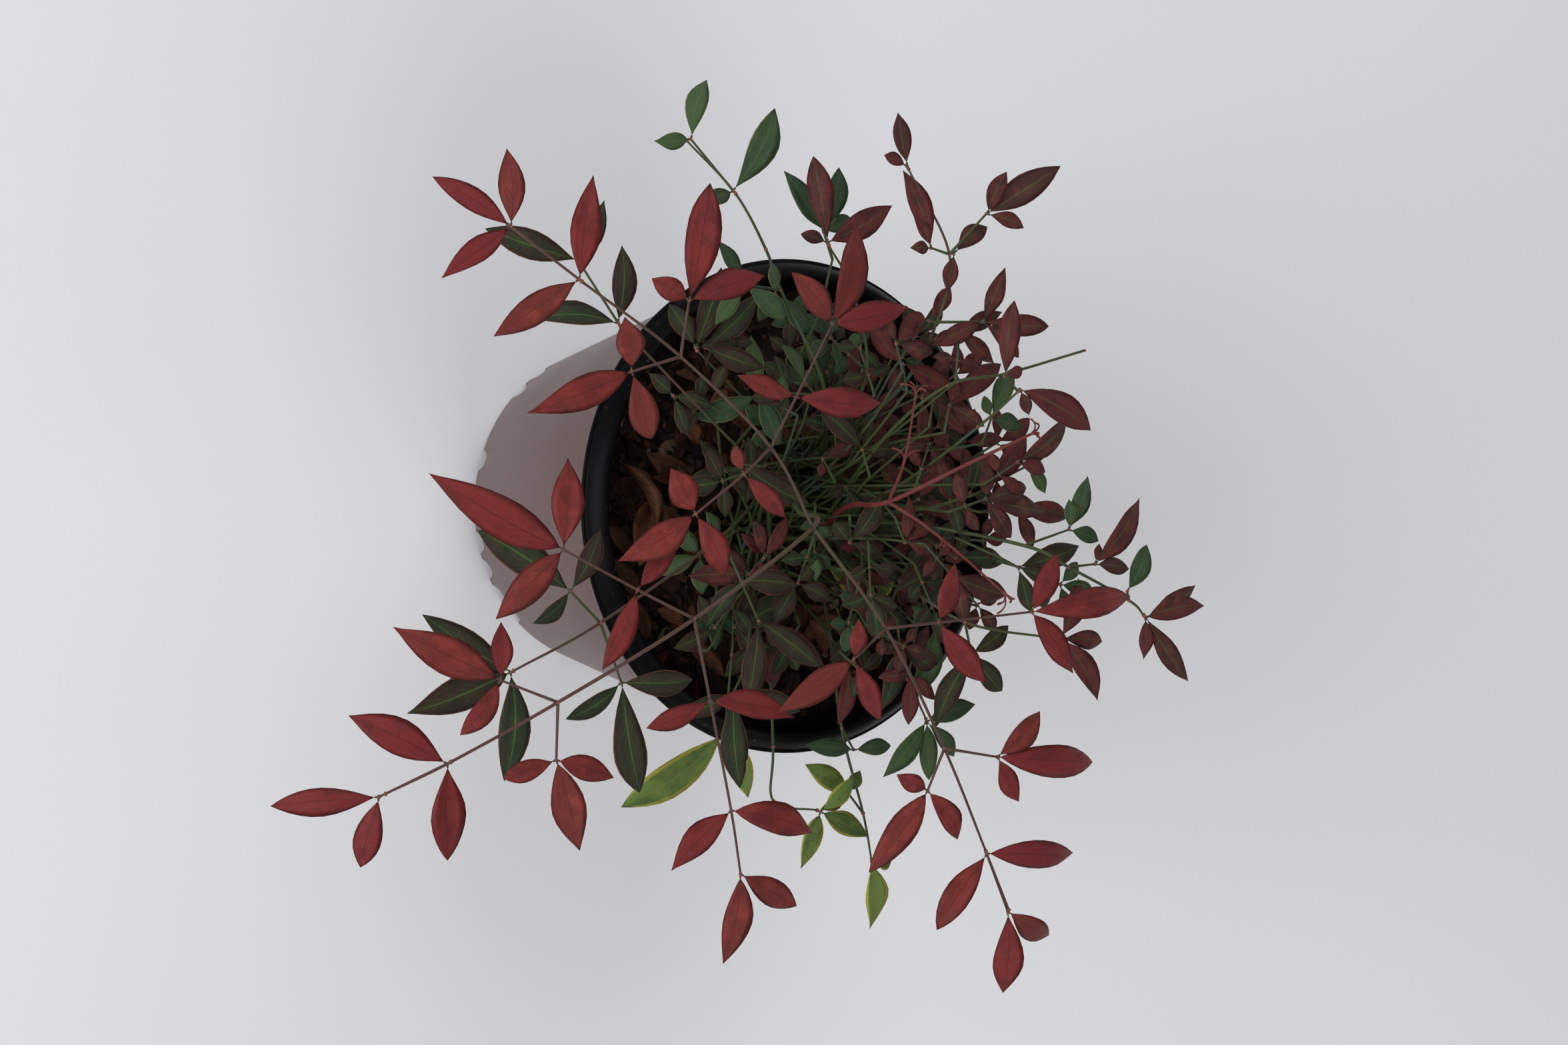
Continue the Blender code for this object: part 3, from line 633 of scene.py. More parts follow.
# Each spray: its limb and node, its heading and the rise of its stalk, the steps between its nodes,
# then its leaflets node by node as (turn from the heading, length, and how much broader where that differs)
sprays = {
    "top_left_spray_1": dict(
        limb="top_frond_left_rib", node=0, heading=147, steps=(18, 27), kind="red",
        leaflets=[[(106, 22), (-58, 34)], [(75, 21, 1.2), (10, 35, 1.3), (-46, 33)]],
    ),
    "top_left_spray_2": dict(
        limb="top_frond_left_rib", node=0, heading=-54, steps=(14, 20), lift=3, kind="red",
        leaflets=[[(106, 20), (-104, 9)], [(-95, 16, 1.5), (-7, 28), (87, 22, 1.25)]],
    ),
    "top_left_spray_3": dict(
        limb="top_frond_left_rib", node=1, heading=168, steps=(17,), kind="red",
        leaflets=[[(76, 14, 1.25), (-5, 37, 1.1), (-61, 30)]],
    ),
    "top_left_spray_4": dict(
        limb="top_frond_left_rib", node=1, heading=-74, steps=(17,), kind="red",
        leaflets=[[(-98, 16, 1.5), (7, 35), (95, 21, 1.4)]],
    ),
    "top_left_spray_5": dict(
        limb="top_frond_left_rib", node=2, heading=-128, rise=-14, steps=(1, 24), kind="red",
        leaflets=[[(-66, 32), (70, 31)], [(4, 25, 0.85), (-56, 23, 0.9), (73, 26, 0.85)]],
    ),
    "top_front_spray_1": dict(
        limb="top_frond_stalk", node=2, heading=-116, steps=(20, 27), lift=-2, kind="red",
        leaflets=[[(-108, 22), (89, 26)], [(-2, 45, 0.86), (-69, 27, 1.2), (68, 29)]],
    ),
    "top_front_spray_2": dict(
        limb="top_frond_stalk", node=2, heading=18, rise=-8, steps=(26, 35, 21), kind="red",
        leaflets=[[(-88, 23), (60, 34)], [(-66, 26), (58, 35, 0.86)], [(-21, 28), (47, 28, 0.86)]],
    ),
    "top_front_spray_3": dict(
        limb="top_frond_stalk", node=3, heading=-111, rise=-8, steps=(19,), kind="red",
        leaflets=[[(-5, 35), (-74, 17), (73, 20)]],
    ),
    "top_front_spray_4": dict(
        limb="top_frond_stalk", node=3, heading=3, rise=-8, steps=(17,), kind="red",
        leaflets=[[(-79, 18), (70, 22), (21, 30)]],
    ),
    "top_front_spray_5": dict(
        limb="top_frond_stalk", node=4, heading=-62, rise=-23, steps=(1, 20), kind="red",
        leaflets=[[(-56, 31), (69, 29, 1.3)], [(-25, 28, 0.78), (54, 21, 1.1)]],
    ),
    "top_right_spray_1": dict(
        limb="top_frond_right_rib", node=0, heading=-51, steps=(15,), kind="red",
        leaflets=[[(-137, 13), (-7, 30), (83, 22)]],
    ),
    "top_right_spray_2": dict(
        limb="top_frond_right_rib", node=0, heading=94, steps=(21, 39), kind="red",
        leaflets=[[(65, 20, 1.4), (-49, 28)], [(49, 23, 1.15), (1, 52, 0.68), (-48, 29, 0.9)]],
    ),
    "top_right_spray_3": dict(
        limb="top_frond_right_rib", node=1, heading=81, rise=-6, steps=(23,), kind="red",
        leaflets=[[(43, 24), (6, 47, 0.75), (-45, 18)]],
    ),
    "top_right_spray_4": dict(
        limb="top_frond_right_rib", node=1, heading=-21, rise=-8, steps=(14,), kind="red",
        leaflets=[[(-94, 13), (-15, 31), (63, 21)]],
    ),
    "top_right_spray_5": dict(
        limb="top_frond_right_rib", node=2, heading=34, rise=-14, steps=(1, 24), kind="red",
        leaflets=[[(51, 43, 0.82), (-71, 29)], [(32, 25), (-21, 28)]],
    ),
    "dark_spray_1": dict(
        limb="dark_frond_stalk", node=2, heading=-64, rise=-7, steps=(1,), kind="bronze",
        leaflets=[[(-58, 33), (-6, 34), (65, 33)]],
    ),
    "dark_spray_2": dict(
        limb="dark_frond_stalk", node=1, heading=-134, steps=(14,), kind="bronze",
        leaflets=[[(79, 16), (-76, 22), (14, 35)]],
    ),
    "dark_spray_3": dict(
        limb="dark_frond_stalk", node=1, heading=28, rise=-10, steps=(21,), kind="bronze",
        leaflets=[[(-90, 22), (63, 29), (-9, 37)]],
    ),
    "green_spray_1": dict(
        limb="green_frond_stalk", node=3, heading=-142, rise=-14, steps=(1, 20), kind="green",
        leaflets=[[(-71, 33), (75, 12)], [(-62, 21), (58, 12)]],
    ),
    "green_spray_2": dict(
        limb="green_frond_stalk", node=1, heading=-96, rise=-8, steps=(13,), kind="green",
        leaflets=[[(-51, 16), (150, 18), (60, 16)]],
    ),
    "middle_spray": dict(
        limb="middle_frond_stalk", node=2, heading=-151, steps=(1,), kind="burgundy",
        leaflets=[[(-22, 27), (-92, 29), (49, 10)]],
    ),
    "back_left_spray_1": dict(
        limb="back_left_stalk", node=3, heading=-149, steps=(1,), kind="burgundy",
        leaflets=[[(-21, 17), (41, 9)]],
    ),
    "back_left_spray_2": dict(
        limb="back_left_stalk", node=2, heading=137, rise=10, steps=(18,), kind="burgundy",
        leaflets=[[(15, 15), (-16, 32), (-61, 15)]],
    ),
    "back_left_spray_3": dict(
        limb="back_left_stalk", node=1, heading=92, rise=6, steps=(17,), kind="burgundy",
        leaflets=[[(59, 20), (-5, 26), (-39, 18), (-159, 20)]],
    ),
    "back_spray": dict(
        limb="back_stalk", node=2, heading=137, steps=(1,), kind="burgundy",
        leaflets=[[(-67, 34), (-111, 9)]],
    ),
    "right_spray_1": dict(
        limb="right_frond_stalk", node=1, heading=105, steps=(20,), kind="green",
        leaflets=[[(47, 20), (72, 10), (-30, 14)]],
    ),
    "right_spray_2": dict(
        limb="right_frond_stalk", node=2, heading=95, rise=0, steps=(11,), kind="burgundy",
        leaflets=[[(40, 30, 1.35), (-11, 15), (69, 7)]],
    ),
    "right_spray_3": dict(
        limb="right_frond_stalk", node=4, heading=45, rise=-6, steps=(1,), kind="burgundy",
        leaflets=[[(69, 26), (53, 29), (4, 32, 0.8), (-45, 14)]],
    ),
    "right_low_spray": dict(
        limb="right_low_stalk", node=2, heading=97, rise=-6, steps=(1,), kind="burgundy",
        leaflets=[[(-13, 20), (-58, 28), (60, 22)]],
    ),
    "right_inner_spray": dict(
        limb="right_low_stalk", node=1, heading=20, rise=-8, steps=(11,), kind="bronze",
        leaflets=[[(-45, 27), (30, 20), (100, 18)]],
    ),
    "low_spray_1": dict(
        limb="low_left_stalk", node=3, heading=60, rise=-4, steps=(1,), lift=3, kind="lime",
        leaflets=[[(-83, 20), (4, 22), (70, 17)]],
    ),
    "low_spray_2": dict(
        limb="low_middle_stalk", node=3, heading=20, rise=-16, steps=(1,), kind="lime",
        leaflets=[[(-9, 24), (70, 9)]],
    ),
    "low_spray_3": dict(
        limb="low_right_stalk", node=2, heading=20, rise=-6, steps=(1,), kind="green",
        leaflets=[[(-62, 24), (28, 18), (85, 22), (-10, 20)]],
    ),
    "front_low_spray": dict(
        limb="front_low_stalk", node=2, heading=-30, rise=-8, steps=(1,), kind="lime",
        leaflets=[[(-27, 40, 0.82), (58, 24)]],
    ),
    "under_left_spray": dict(
        limb="under_left_stalk", node=1, heading=-147, rise=-8, steps=(1, 22), kind="bronze",
        leaflets=[[(-40, 24), (55, 27)], [(38, 30), (-62, 22)]],
    ),
    "inner_left_spray": dict(
        limb="inner_left_stalk", node=1, heading=-155, steps=(1,), kind="bronze",
        leaflets=[[(-50, 28), (8, 16), (-108, 22)]],
    ),
    "inner_back_spray": dict(
        limb="back_left_stalk", node=0, heading=70, rise=2, steps=(9,), kind="burgundy",
        leaflets=[[(-66, 18), (6, 22), (72, 18)]],
    ),
    "inner_front_spray": dict(
        limb="dark_frond_stalk", node=0, heading=22, rise=10, steps=(15, 14), kind="bronze",
        leaflets=[[(-66, 20), (62, 22)], [(-32, 26), (36, 28)]],
    ),
}


def headingVector(degrees):
    turn = math.radians(degrees)
    return np.array([math.cos(turn), math.sin(turn), 0.0])


def caneAxis(name):
    plan = canePlan["canes"][name]
    foot = np.array([*plan["foot"], soilTop])
    lean = math.radians(plan["lean"])
    way = headingVector(plan["heading"]) * math.sin(lean) + np.array([0, 0, math.cos(lean)])
    return foot, foot + way * canePlan["length"]


def limbFoot(plan):
    # On the cane's surface, or at the node of the limb that bears this one
    if "cane" in plan:
        foot, tip = caneAxis(plan["cane"])
        seat = foot + (tip - foot) * plan["up"]
        way = np.array(plan["nodes"][0], float) - seat
        way[2] = 0
        return seat + unit(way) * (canePlan["tipRadius"] * 0.6)
    return np.array(limbs[plan["limb"]]["nodes"][plan["node"]], float)


# Ribs, leaf stalks and joints of every spray, how far its tips droop, how leaflets broaden as they shorten,
# and the way they face
ribPlan = dict(
    radii=(0.5, 0.42, 0.36), leafStalk=(0.36, 0.3), leafStalkLength=1.2, joint=0.62, droop=0.0022,
    broad=0.82, youngBroad=0.96, youngLength=8.0, youngRange=8.5, broadSpread=(0.92, 1.07), turnSpread=2,
    redTones=(0.72, 1.0), greenTones=(0.25, 0.55), redLeafStalk=(0.9, 0.9), greenLeafStalk=(0.4, 0.4),
    faces=(0, -0.30, 1),
)


def growSpray(name, plan, stalks, joints, leafLists):
    # The same plane and droop as the frame's pad: a thin rib through the nodes, a joint at each
    # node, and a leaflet to every turn and length
    p = ribPlan
    chance = random.Random(name)
    foot = plan["foot"] if "foot" in plan else np.array(limbs[plan["limb"]]["nodes"][plan["node"]], float)
    ahead = headingVector(plan["heading"])
    left = np.array([-ahead[1], ahead[0], 0.0])
    slope = math.tan(math.radians(plan.get("rise", -3)))
    reach = sum(plan["steps"])
    middle = plan["steps"][0] + (reach - plan["steps"][0]) / 2
    lift = plan.get("lift", 0)

    def place(x, y):
        away = math.hypot(x - middle, y) if x > middle else abs(y)
        level = slope * x - p["droop"] * away ** 2 + lift * min(1, max(0, x) / 5)
        return foot + ahead * x + left * y + np.array([0, 0, level])

    spots = [0.0]
    for step in plan["steps"]:
        spots.append(spots[-1] + step)
    rib = smoothPath([place(x, 0) for x in spots], 5)
    isRed = plan["kind"] == "red"
    stalks.add(rib, p["radii"], p["redTones"] if isRed else p["greenTones"])
    leafStalkTones = p["redLeafStalk"] if isRed else p["greenLeafStalk"]
    for x, fan in zip(spots[1:], plan["leaflets"]):
        node = place(x, 0)
        joints.append((node, p["joint"]))
        for turn, length, *share in fan:
            angle = math.radians(turn + chance.uniform(-p["turnSpread"], p["turnSpread"]))
            way = np.array([math.cos(angle), math.sin(angle)])
            tip = place(x + way[0] * length, way[1] * length)
            base = node + (tip - node) * min(p["leafStalkLength"] / length, 0.2) + np.array([0, 0, 0.25])
            stalks.add(np.array([node, (node + base) / 2, base]), p["leafStalk"], leafStalkTones)
            broad = p["broad"] + p["youngBroad"] * math.exp((p["youngLength"] - length) / p["youngRange"])
            broad *= kindWidths[plan["kind"]] * chance.uniform(*p["broadSpread"]) * math.prod(share)
            leafLists[plan["kind"]].append(dict(base=base, tip=tip, up=p["faces"], slim=broad))


# Where low stalks come up, how much nearer their sprays than the middle, how deep they start, how they bend
stemPlan = dict(
    middle=(-2, 2, 0), spread=24, follow=0.16, sunk=1.5, bow=0.12, lift=(0.03, 0.14),
    radii=(0.66, 0.54, 0.46, 0.40), tone=(0.1, 0.5), steps=(7, 9),
)


def lowStem(name, foot):
    # A young shoot's stalk comes up through the mix at a seeded spot round the canes, rises faster than it
    # reaches out, and bows a little sideways
    p = stemPlan
    chance = random.Random(name + " stem")
    seat = headingVector(chance.uniform(0, 360)) * p["spread"] * math.sqrt(chance.random()) + p["middle"]
    seat = seat + (foot - seat) * (p["follow"], p["follow"], 0)
    seat[2] = float(soilHeight(seat[:1], seat[1:2])[0]) - p["sunk"]
    span = foot - seat
    aside = np.array([-span[1], span[0], 0]) * chance.uniform(-p["bow"], p["bow"])
    steep = np.array([0, 0, chance.uniform(*p["lift"])])
    path = [seat, seat + span * (0.3 + steep) + aside * 0.8, seat + span * (0.66 + steep) + aside, foot]
    return smoothPath(path, 6)


def growLowSpray(name, plan, chance, stalks, joints, leafLists):
    # A spray on a low stalk of its own. The rib runs back from the place where the last leaflets meet.
    steps = stemPlan["steps"][-len(plan["leaflets"]):]
    foot = np.array(plan["node"], float) - headingVector(plan["heading"]) * sum(steps)
    foot[2] -= math.tan(math.radians(plan.get("rise", -3))) * sum(steps)
    growSpray(name, dict(plan, foot=foot, steps=steps), stalks, joints, leafLists)
    stalks.add(lowStem(name, foot), stemPlan["radii"], (0.0, chance.uniform(*stemPlan["tone"])))


# Sprays of the crown's inside and of its far side, each on a low stalk of its own: the kind, where the
# leaflets meet, the heading, and the leaflets as (turn from the heading, length)
innerSprays = {
    "left_high": ("bronze", (-49, -68, 166), -116, [(-114, 28), (-37, 11), (-169, 23)]),
    "left_edge": ("bronze", (-34, -76, 160), -104, [(-180, 16), (-26, 11), (126, 14)]),
    "left_green": ("green", (-35, -44, 160), -114, [(41, 24), (-59, 19), (142, 18)]),
    "left_young": ("green", (-39, -23, 156), -132, [(-15, 15), (11, 13)]),
    "left_top_green": ("green", (-67, -36, 158), -142, [(-169, 18), (103, 11), (-36, 10)]),
    "back_small": ("bronze", (-50, -13, 172), -161, [(73, 9), (-43, 9), (-149, 10)]),
    "back_wine": ("burgundy", (-45, -2, 180), -172, [(-118, 22), (36, 17), (142, 9)]),
    "back_high": ("burgundy", (-51, -9, 186), -166, [(11, 10), (-70, 14), (-113, 15), (-53, 13)]),
    "back_right": ("burgundy", (-34, 13, 176), 168, [(-119, 17), (-16, 13), (56, 5)]),
    "back_oval": ("burgundy", (-32, 15, 182), 165, [(-99, 16), (-45, 27), (-6, 9)]),
    "middle_bronze": ("bronze", (-18, -2, 158), -163, [(-100, 18), (33, 20), (-40, 11)]),
    "right_long": ("burgundy", (-20, 16, 170), 156, [(-130, 23), (123, 9), (-48, 9)]),
    "heart_young": ("burgundy", (-15, -12, 150), -148, [(-103, 13), (132, 6)]),
    "heart_low": ("bronze", (-6, 0, 146), -154, [(82, 8), (-129, 17), (-179, 10)]),
    "heart_front": ("bronze", (12, -7, 158), 2, [(140, 21), (-140, 9), (69, 15)]),
    "heart_right": ("burgundy", (12, 9, 166), 27, [(145, 15), (47, 13), (96, 14)]),
    "heart_wine": ("burgundy", (-2, 19, 160), 113, [(-45, 17), (28, 12)]),
    "front_narrow": ("burgundy", (17, -35, 150), -47, [(-166, 16), (-115, 13), (12, 8)]),
    "left_low": ("bronze", (-11, -50, 150), -94, [(-43, 12), (20, 16), (145, 11)]),
    "left_single": ("bronze", (-13, -48, 156), -97, [(161, 29)]),
    "front_low": ("burgundy", (22, -38, 146), -45, [(-42, 22), (-87, 12)]),
    "right_front": ("bronze", (17, 31, 156), 62, [(-121, 22), (75, 9)]),
    "front_heart": ("bronze", (25, -22, 150), -22, [(-6, 16), (87, 15), (160, 9)]),
    "front_mottled": ("bronze", (39, -41, 142), -35, [(145, 27), (85, 13), (-175, 15)]),
    "front_left": ("bronze", (39, -50, 144), -42, [(-23, 16), (-110, 12)]),
    "front_wine": ("burgundy", (40, -27, 140), -21, [(32, 20), (82, 27)]),
    "front_right": ("burgundy", (32, -1, 150), 10, [(68, 20), (179, 8)]),
    "front_green": ("green", (34, 9, 140), 21, [(-51, 12), (32, 15)]),
    "rim_wine": ("burgundy", (52, 1, 146), 9, [(-17, 20), (82, 13), (-158, 9)]),
    "rim_mottled": ("bronze", (46, 13, 158), 10, [(55, 18), (-28, 22), (-97, 10)]),
    "rim_green": ("green", (39, 29, 156), 34, [(-154, 12), (-49, 24)]),
    "dark_rim": ("bronze", (60, -47, 150), -30, [(-41, 22), (105, 28), (40, 31)]),
    "low_lime": ("lime", (33, 29, 124), 39, [(120, 14), (-137, 16), (-160, 25)]),
    "right_high": ("burgundy", (-6, 33, 180), 110, [(25, 24), (77, 11)]),
    "right_far": ("burgundy", (-14, 41, 184), 117, [(3, 28), (-41, 13)]),
    "right_small": ("bronze", (-4, 31, 172), 108, [(54, 14), (-32, 11)]),
    "right_wine": ("burgundy", (-2, 28, 184), 105, [(-23, 28), (61, 12), (-61, 17), (-2, 19)]),
    "right_dark": ("burgundy", (1, 47, 176), 94, [(-11, 25), (-63, 15)]),
    "right_bronze": ("bronze", (20, 46, 178), 68, [(36, 29), (2, 15), (-44, 16)]),
    "right_below": ("burgundy", (23, 27, 168), 49, [(29, 26), (-28, 18)]),
    "right_olive": ("bronze", (17, 31, 164), 64, [(20, 23), (85, 11)]),
    "right_green": ("green", (26, 70, 170), 71, [(8, 16), (60, 11), (-50, 12)]),
    "right_top_green": ("green", (-13, 50, 178), 111, [(-71, 12), (21, 14)]),
    "back_edge": ("burgundy", (-55, 13, 190), 172, [(-62, 20), (-115, 17), (114, 11)]),
    "back_green": ("green", (-85, -37, 186), -160, [(-40, 22), (15, 23), (-88, 12)]),
    "right_rim_green": ("green", (-28, 35, 178), 153, [(-6, 20), (44, 8), (-74, 14)]),
}

# Small sprays at a limb's node: the kind, the limb and its node, how far from there the leaflets meet, the
# heading and the leaflets
limbSprays = {
    "low_pair": ("lime", "low_middle_stalk", 2, 9, -140, [(20, 19), (-75, 9), (75, 12)]),
    "low_upper": ("green", "low_middle_stalk", 1, 9, 35, [(56, 16), (-131, 20)]),
    "right_end_green": ("green", "right_frond_stalk", 3, 3, 192, [(-45, 18)]),
    "rim_long": ("burgundy", "back_left_stalk", 2, 7, -104, [(-53, 26), (-42, 12), (14, 8)]),
    "rim_broad": ("burgundy", "back_left_stalk", 2, 2, 109, [(14, 17), (-121, 13)]),
    "rim_folded": ("burgundy", "back_left_stalk", 1, 3, -95, [(-124, 14), (-7, 8)]),
    "rim_bright": ("burgundy", "back_stalk", 2, 7, -132, [(-60, 25), (-118, 8)]),
}

# Small sprays low in the crown, dealt out by a seeded rule: how many, how far out and how high their nodes
# lie, how long their leaflets are, how many bear a second pair, and how many the open side goes without
understorey = dict(
    sprays=64, reach=(8, 60), height=(124, 162), middleRise=6, lengths=(9, 17), secondPair=0.5,
    turn=137.5, turnSpread=14, headingSpread=55, rise=(0, 16), openBeyond=-15, openShare=0.66,
)


def lowKind(x, y, chance):
    # Green towards the far left, wine red to the right, lime now and then in front, and bronze between
    draw = chance.random()
    if x > 22 and draw < 0.05:
        return "lime"
    if x < -14 and y < 8:
        return "green" if draw < 0.28 else "bronze"
    if y > 4:
        return "burgundy" if draw < 0.55 else "bronze"
    return "bronze" if draw < 0.55 else "burgundy" if draw < 0.82 else "green"


def lowSprays():
    # Spots turn by the golden angle and go outwards by the square root of their number, which covers the disc
    # evenly
    chance = random.Random("understorey")
    p = understorey
    found = {}
    for number in range(p["sprays"]):
        share = math.sqrt((number + 0.5) / p["sprays"])
        turn = number * p["turn"] + chance.uniform(-p["turnSpread"], p["turnSpread"])
        reach = p["reach"][0] + (p["reach"][1] - p["reach"][0]) * share
        x, y = headingVector(turn)[:2] * reach - (3, 0)
        height = chance.uniform(*p["height"]) + p["middleRise"] * (1 - share)
        long = chance.uniform(*p["lengths"])
        side = chance.uniform(58, 78)
        last = [(chance.uniform(-16, 16), long)]
        last += [(aside, long * chance.uniform(0.65, 0.9)) for aside in (side, -side)]
        first = [(chance.uniform(62, 88), long * 0.7), (chance.uniform(-88, -62), long * 0.66)]
        double = chance.random() < p["secondPair"]
        if chance.random() < p["openShare"] and y < p["openBeyond"]:
            continue
        found[f"low_{number}"] = dict(
            kind=lowKind(x, y, chance), node=(x, y, height),
            heading=turn + chance.uniform(-p["headingSpread"], p["headingSpread"]),
            rise=chance.uniform(*p["rise"]), leaflets=[first, last] if double else [last],
        )
    return found


# Thin ribs without leaves that stand free in gaps of the crown
bareRibs = {
    "bare_right_rib": dict(
        cane="cane_2", up=0.8, tones=(0.1, 0.5),
        nodes=[(-22, 2, 165), (-38, 9, 189), (-42, 27, 196), (-50, 56, 200)],
    ),
    "bare_front_rib": dict(
        cane="cane_2", up=0.5, tones=(0.0, 0.3),
        nodes=[(20, 20, 135), (30, 34, 150), (33, 46, 156)],
    ),
    "bare_low_rib": dict(
        cane="cane_1", up=0.5, tones=(0.0, 0.3),
        nodes=[(24, -30, 130), (44, -52, 146), (46, -58, 148)],
    ),
}

# A limb's share of the frame's thickness, how it swells at its foot, its tones, and its joints' extra radius
limbPlan = dict(slim=0.74, footSwell=(2.3, 1.8, 1.3), tones=(0.0, 0.42), joint=0.34)
bareRibPlan = dict(radii=(0.8, 0.5, 0.42), joint=0.6)


def makePlant():
    plant = stalks, joints, leafLists = Tubes(10), [], {kind: [] for kind in leafKinds}
    for plan in limbs.values():
        thick, thin = (limbPlan["slim"] * width for width in plan["thick"])
        radii = np.linspace(thick / 2, thin / 2, 24)
        if "cane" in plan:
            radii[:3] *= limbPlan["footSwell"]
        path = smoothPath([limbFoot(plan)] + plan["nodes"], 12)
        stalks.add(path, radii, plan.get("tones", limbPlan["tones"]))
        joints += [(np.array(node, float), thin / 2 + limbPlan["joint"]) for node in plan["nodes"][1:]]
    for name, plan in sprays.items():
        growSpray(name, plan, *plant)

    for name, (kind, node, heading, fan) in innerSprays.items():
        chance = random.Random(name + " pair")
        fans = [fan]
        if chance.random() < 0.5:
            young = [(chance.uniform(low, low + 35), chance.uniform(8, 12)) for low in (60, -95)]
            fans = [young, fan]
        growLowSpray(name, dict(kind=kind, node=node, heading=heading, leaflets=fans), chance, *plant)
    for name, (kind, limb, node, reach, heading, fan) in limbSprays.items():
        plan = dict(kind=kind, limb=limb, node=node, heading=heading, steps=(reach,), leaflets=[fan])
        growSpray(name, plan, *plant)
    for name, plan in lowSprays().items():
        growLowSpray(name, plan, random.Random(name + " pair"), *plant)

    for plan in bareRibs.values():
        stalks.add(smoothPath([limbFoot(plan)] + plan["nodes"], 10), bareRibPlan["radii"], plan["tones"])
        joints += [(np.array(node, float), bareRibPlan["joint"]) for node in plan["nodes"][1:]]
    return plant


# Stalks: bluish green low down, brown and mauve above, with fine lengthwise ridges
stalkFinish = dict(
    low=(0.044, 0.062, 0.018), bloom=(0.044, 0.072, 0.052), high=(0.085, 0.038, 0.031), grain=1500.0,
    ridges=44.0, ridgeDepth=0.35, roughness=0.5, specular=0.3, relief=(0.35, 0.0002),
)
jointFinish = dict(skin=(0.25, 0.060, 0.038), roughness=0.5, specular=0.5, relief=(0.4, 0.0002))


def stalkMaterial():
    made, tree, shader = newMaterial("stalk skin")
    finish = stalkFinish
    place = mapPlace(tree, "stalkMap")
    split = tree.nodes.new("ShaderNodeSeparateXYZ")
    tree.links.new(place, split.inputs[0])
    here = objectPlace(tree)
    patches = noise(tree, here, 70.0, 3.0)
    tone = calc(tree, "ADD", split.outputs[0], calc(tree, "MULTIPLY_ADD", patches, 0.5, -0.25))
    bloomed = ramp(tree, noise(tree, here, 60.0), 0.53, 0.66)
    colour = blendColours(tree, bloomed, finish["low"], finish["bloom"])
    colour = blendColours(tree, ramp(tree, tone, 0.35, 0.85), colour, finish["high"])
    ridges = calc(tree, "SINE", calc(tree, "MULTIPLY", split.outputs[1], finish["ridges"]))
    grain = placeGroup(tree, fineGrain, {"Place": here, "Size": finish["grain"]})
    height = calc(tree, "MULTIPLY_ADD", ridges, finish["ridgeDepth"], grain["Height"])
    dress(tree, shader, colour, height, finish)
    return made


def jointMaterial():
    made, tree, shader = newMaterial("swollen joint")
    here = objectPlace(tree)
    blotch = ramp(tree, noise(tree, here, 260.0), 0.35, 0.65)
    colour = blendColours(tree, blotch, jointFinish["skin"], stalkFinish["high"])
    grain = placeGroup(tree, fineGrain, {"Place": here, "Size": stalkFinish["grain"]})
    dress(tree, shader, colour, grain["Height"], jointFinish)
    return made


def makeJoints(joints, material):
    # Each swelling is a small egg: points on a turned half circle, spread a little sideways by a seeded share
    chance = np.random.default_rng(11)
    rows, columns = 4, 8
    up = np.pi * (np.arange(1, rows + 1) / (rows + 1))[:, None]
    turn = 2 * np.pi * np.arange(columns)[None, :] / columns
    ball = np.stack([np.sin(up) * np.cos(turn), np.sin(up) * np.sin(turn), np.cos(up) + 0 * turn], axis=-1)
    ball = np.vstack([ball.reshape(-1, 3), [[0, 0, 1], [0, 0, -1]]])
    centres = np.array([centre for centre, size in joints])
    sizes = np.array([size for centre, size in joints])
    shape = ball[None] * sizes[:, None, None] * chance.uniform(0.85, 1.15, (len(joints), 1, 3))
    faces = [
        repeatFaces(part[:, ::-1], len(joints), len(ball))
        for part in (ringFaces(rows, columns), endFans(rows, columns))
    ]
    addPiece("stalk_joints", (centres[:, None] + shape).reshape(-1, 3), faces, [material])


# The pot: one closed turned wall, with arches cut into its base edge. lip is the lip's section from the
# inside over the top, as (out from the rim, up from the top), and foot is the section under the wall, as (in
# from the base radius, height).
potPlan = dict(
    rimRadius=82.2, baseRadius=56.0, height=121.8, lipDepth=7.2, lipOverhang=4.1, wall=1.6, floor=3.0,
    turns=360, arch=4.6, archHalfTurn=3.6, arches=(13, 23, 33, 43, 73), recess=2.2,
    lip=[
        (-6.1, -4.2), (-6.8, -1.2), (-6.75, -0.6), (-6.4, -0.15), (-5.8, 0), (-5.2, -0.15), (-4.6, -0.5),
        (-3.7, -1.25), (-2.9, -2.2), (-2.2, -3.2), (-1.6, -4.2), (-1.25, -5.1), (-1.1, -5.6), (-0.8, -5.75),
        (-0.2, -5.8), (0, -6.1), (0, -6.8),
    ],
    foot=[(0.1, 0.5), (0.7, 0.0), (1.9, 0.0), (2.4, 0.0), (3.4, 0.6), (4.4, 1.4)], underside=1.4, middle=30.0,
)


def wallRadius(height):
    top, base = potPlan["rimRadius"] - potPlan["lipOverhang"], potPlan["baseRadius"]
    return base + (top - base) * height / (potPlan["height"] - potPlan["lipDepth"])


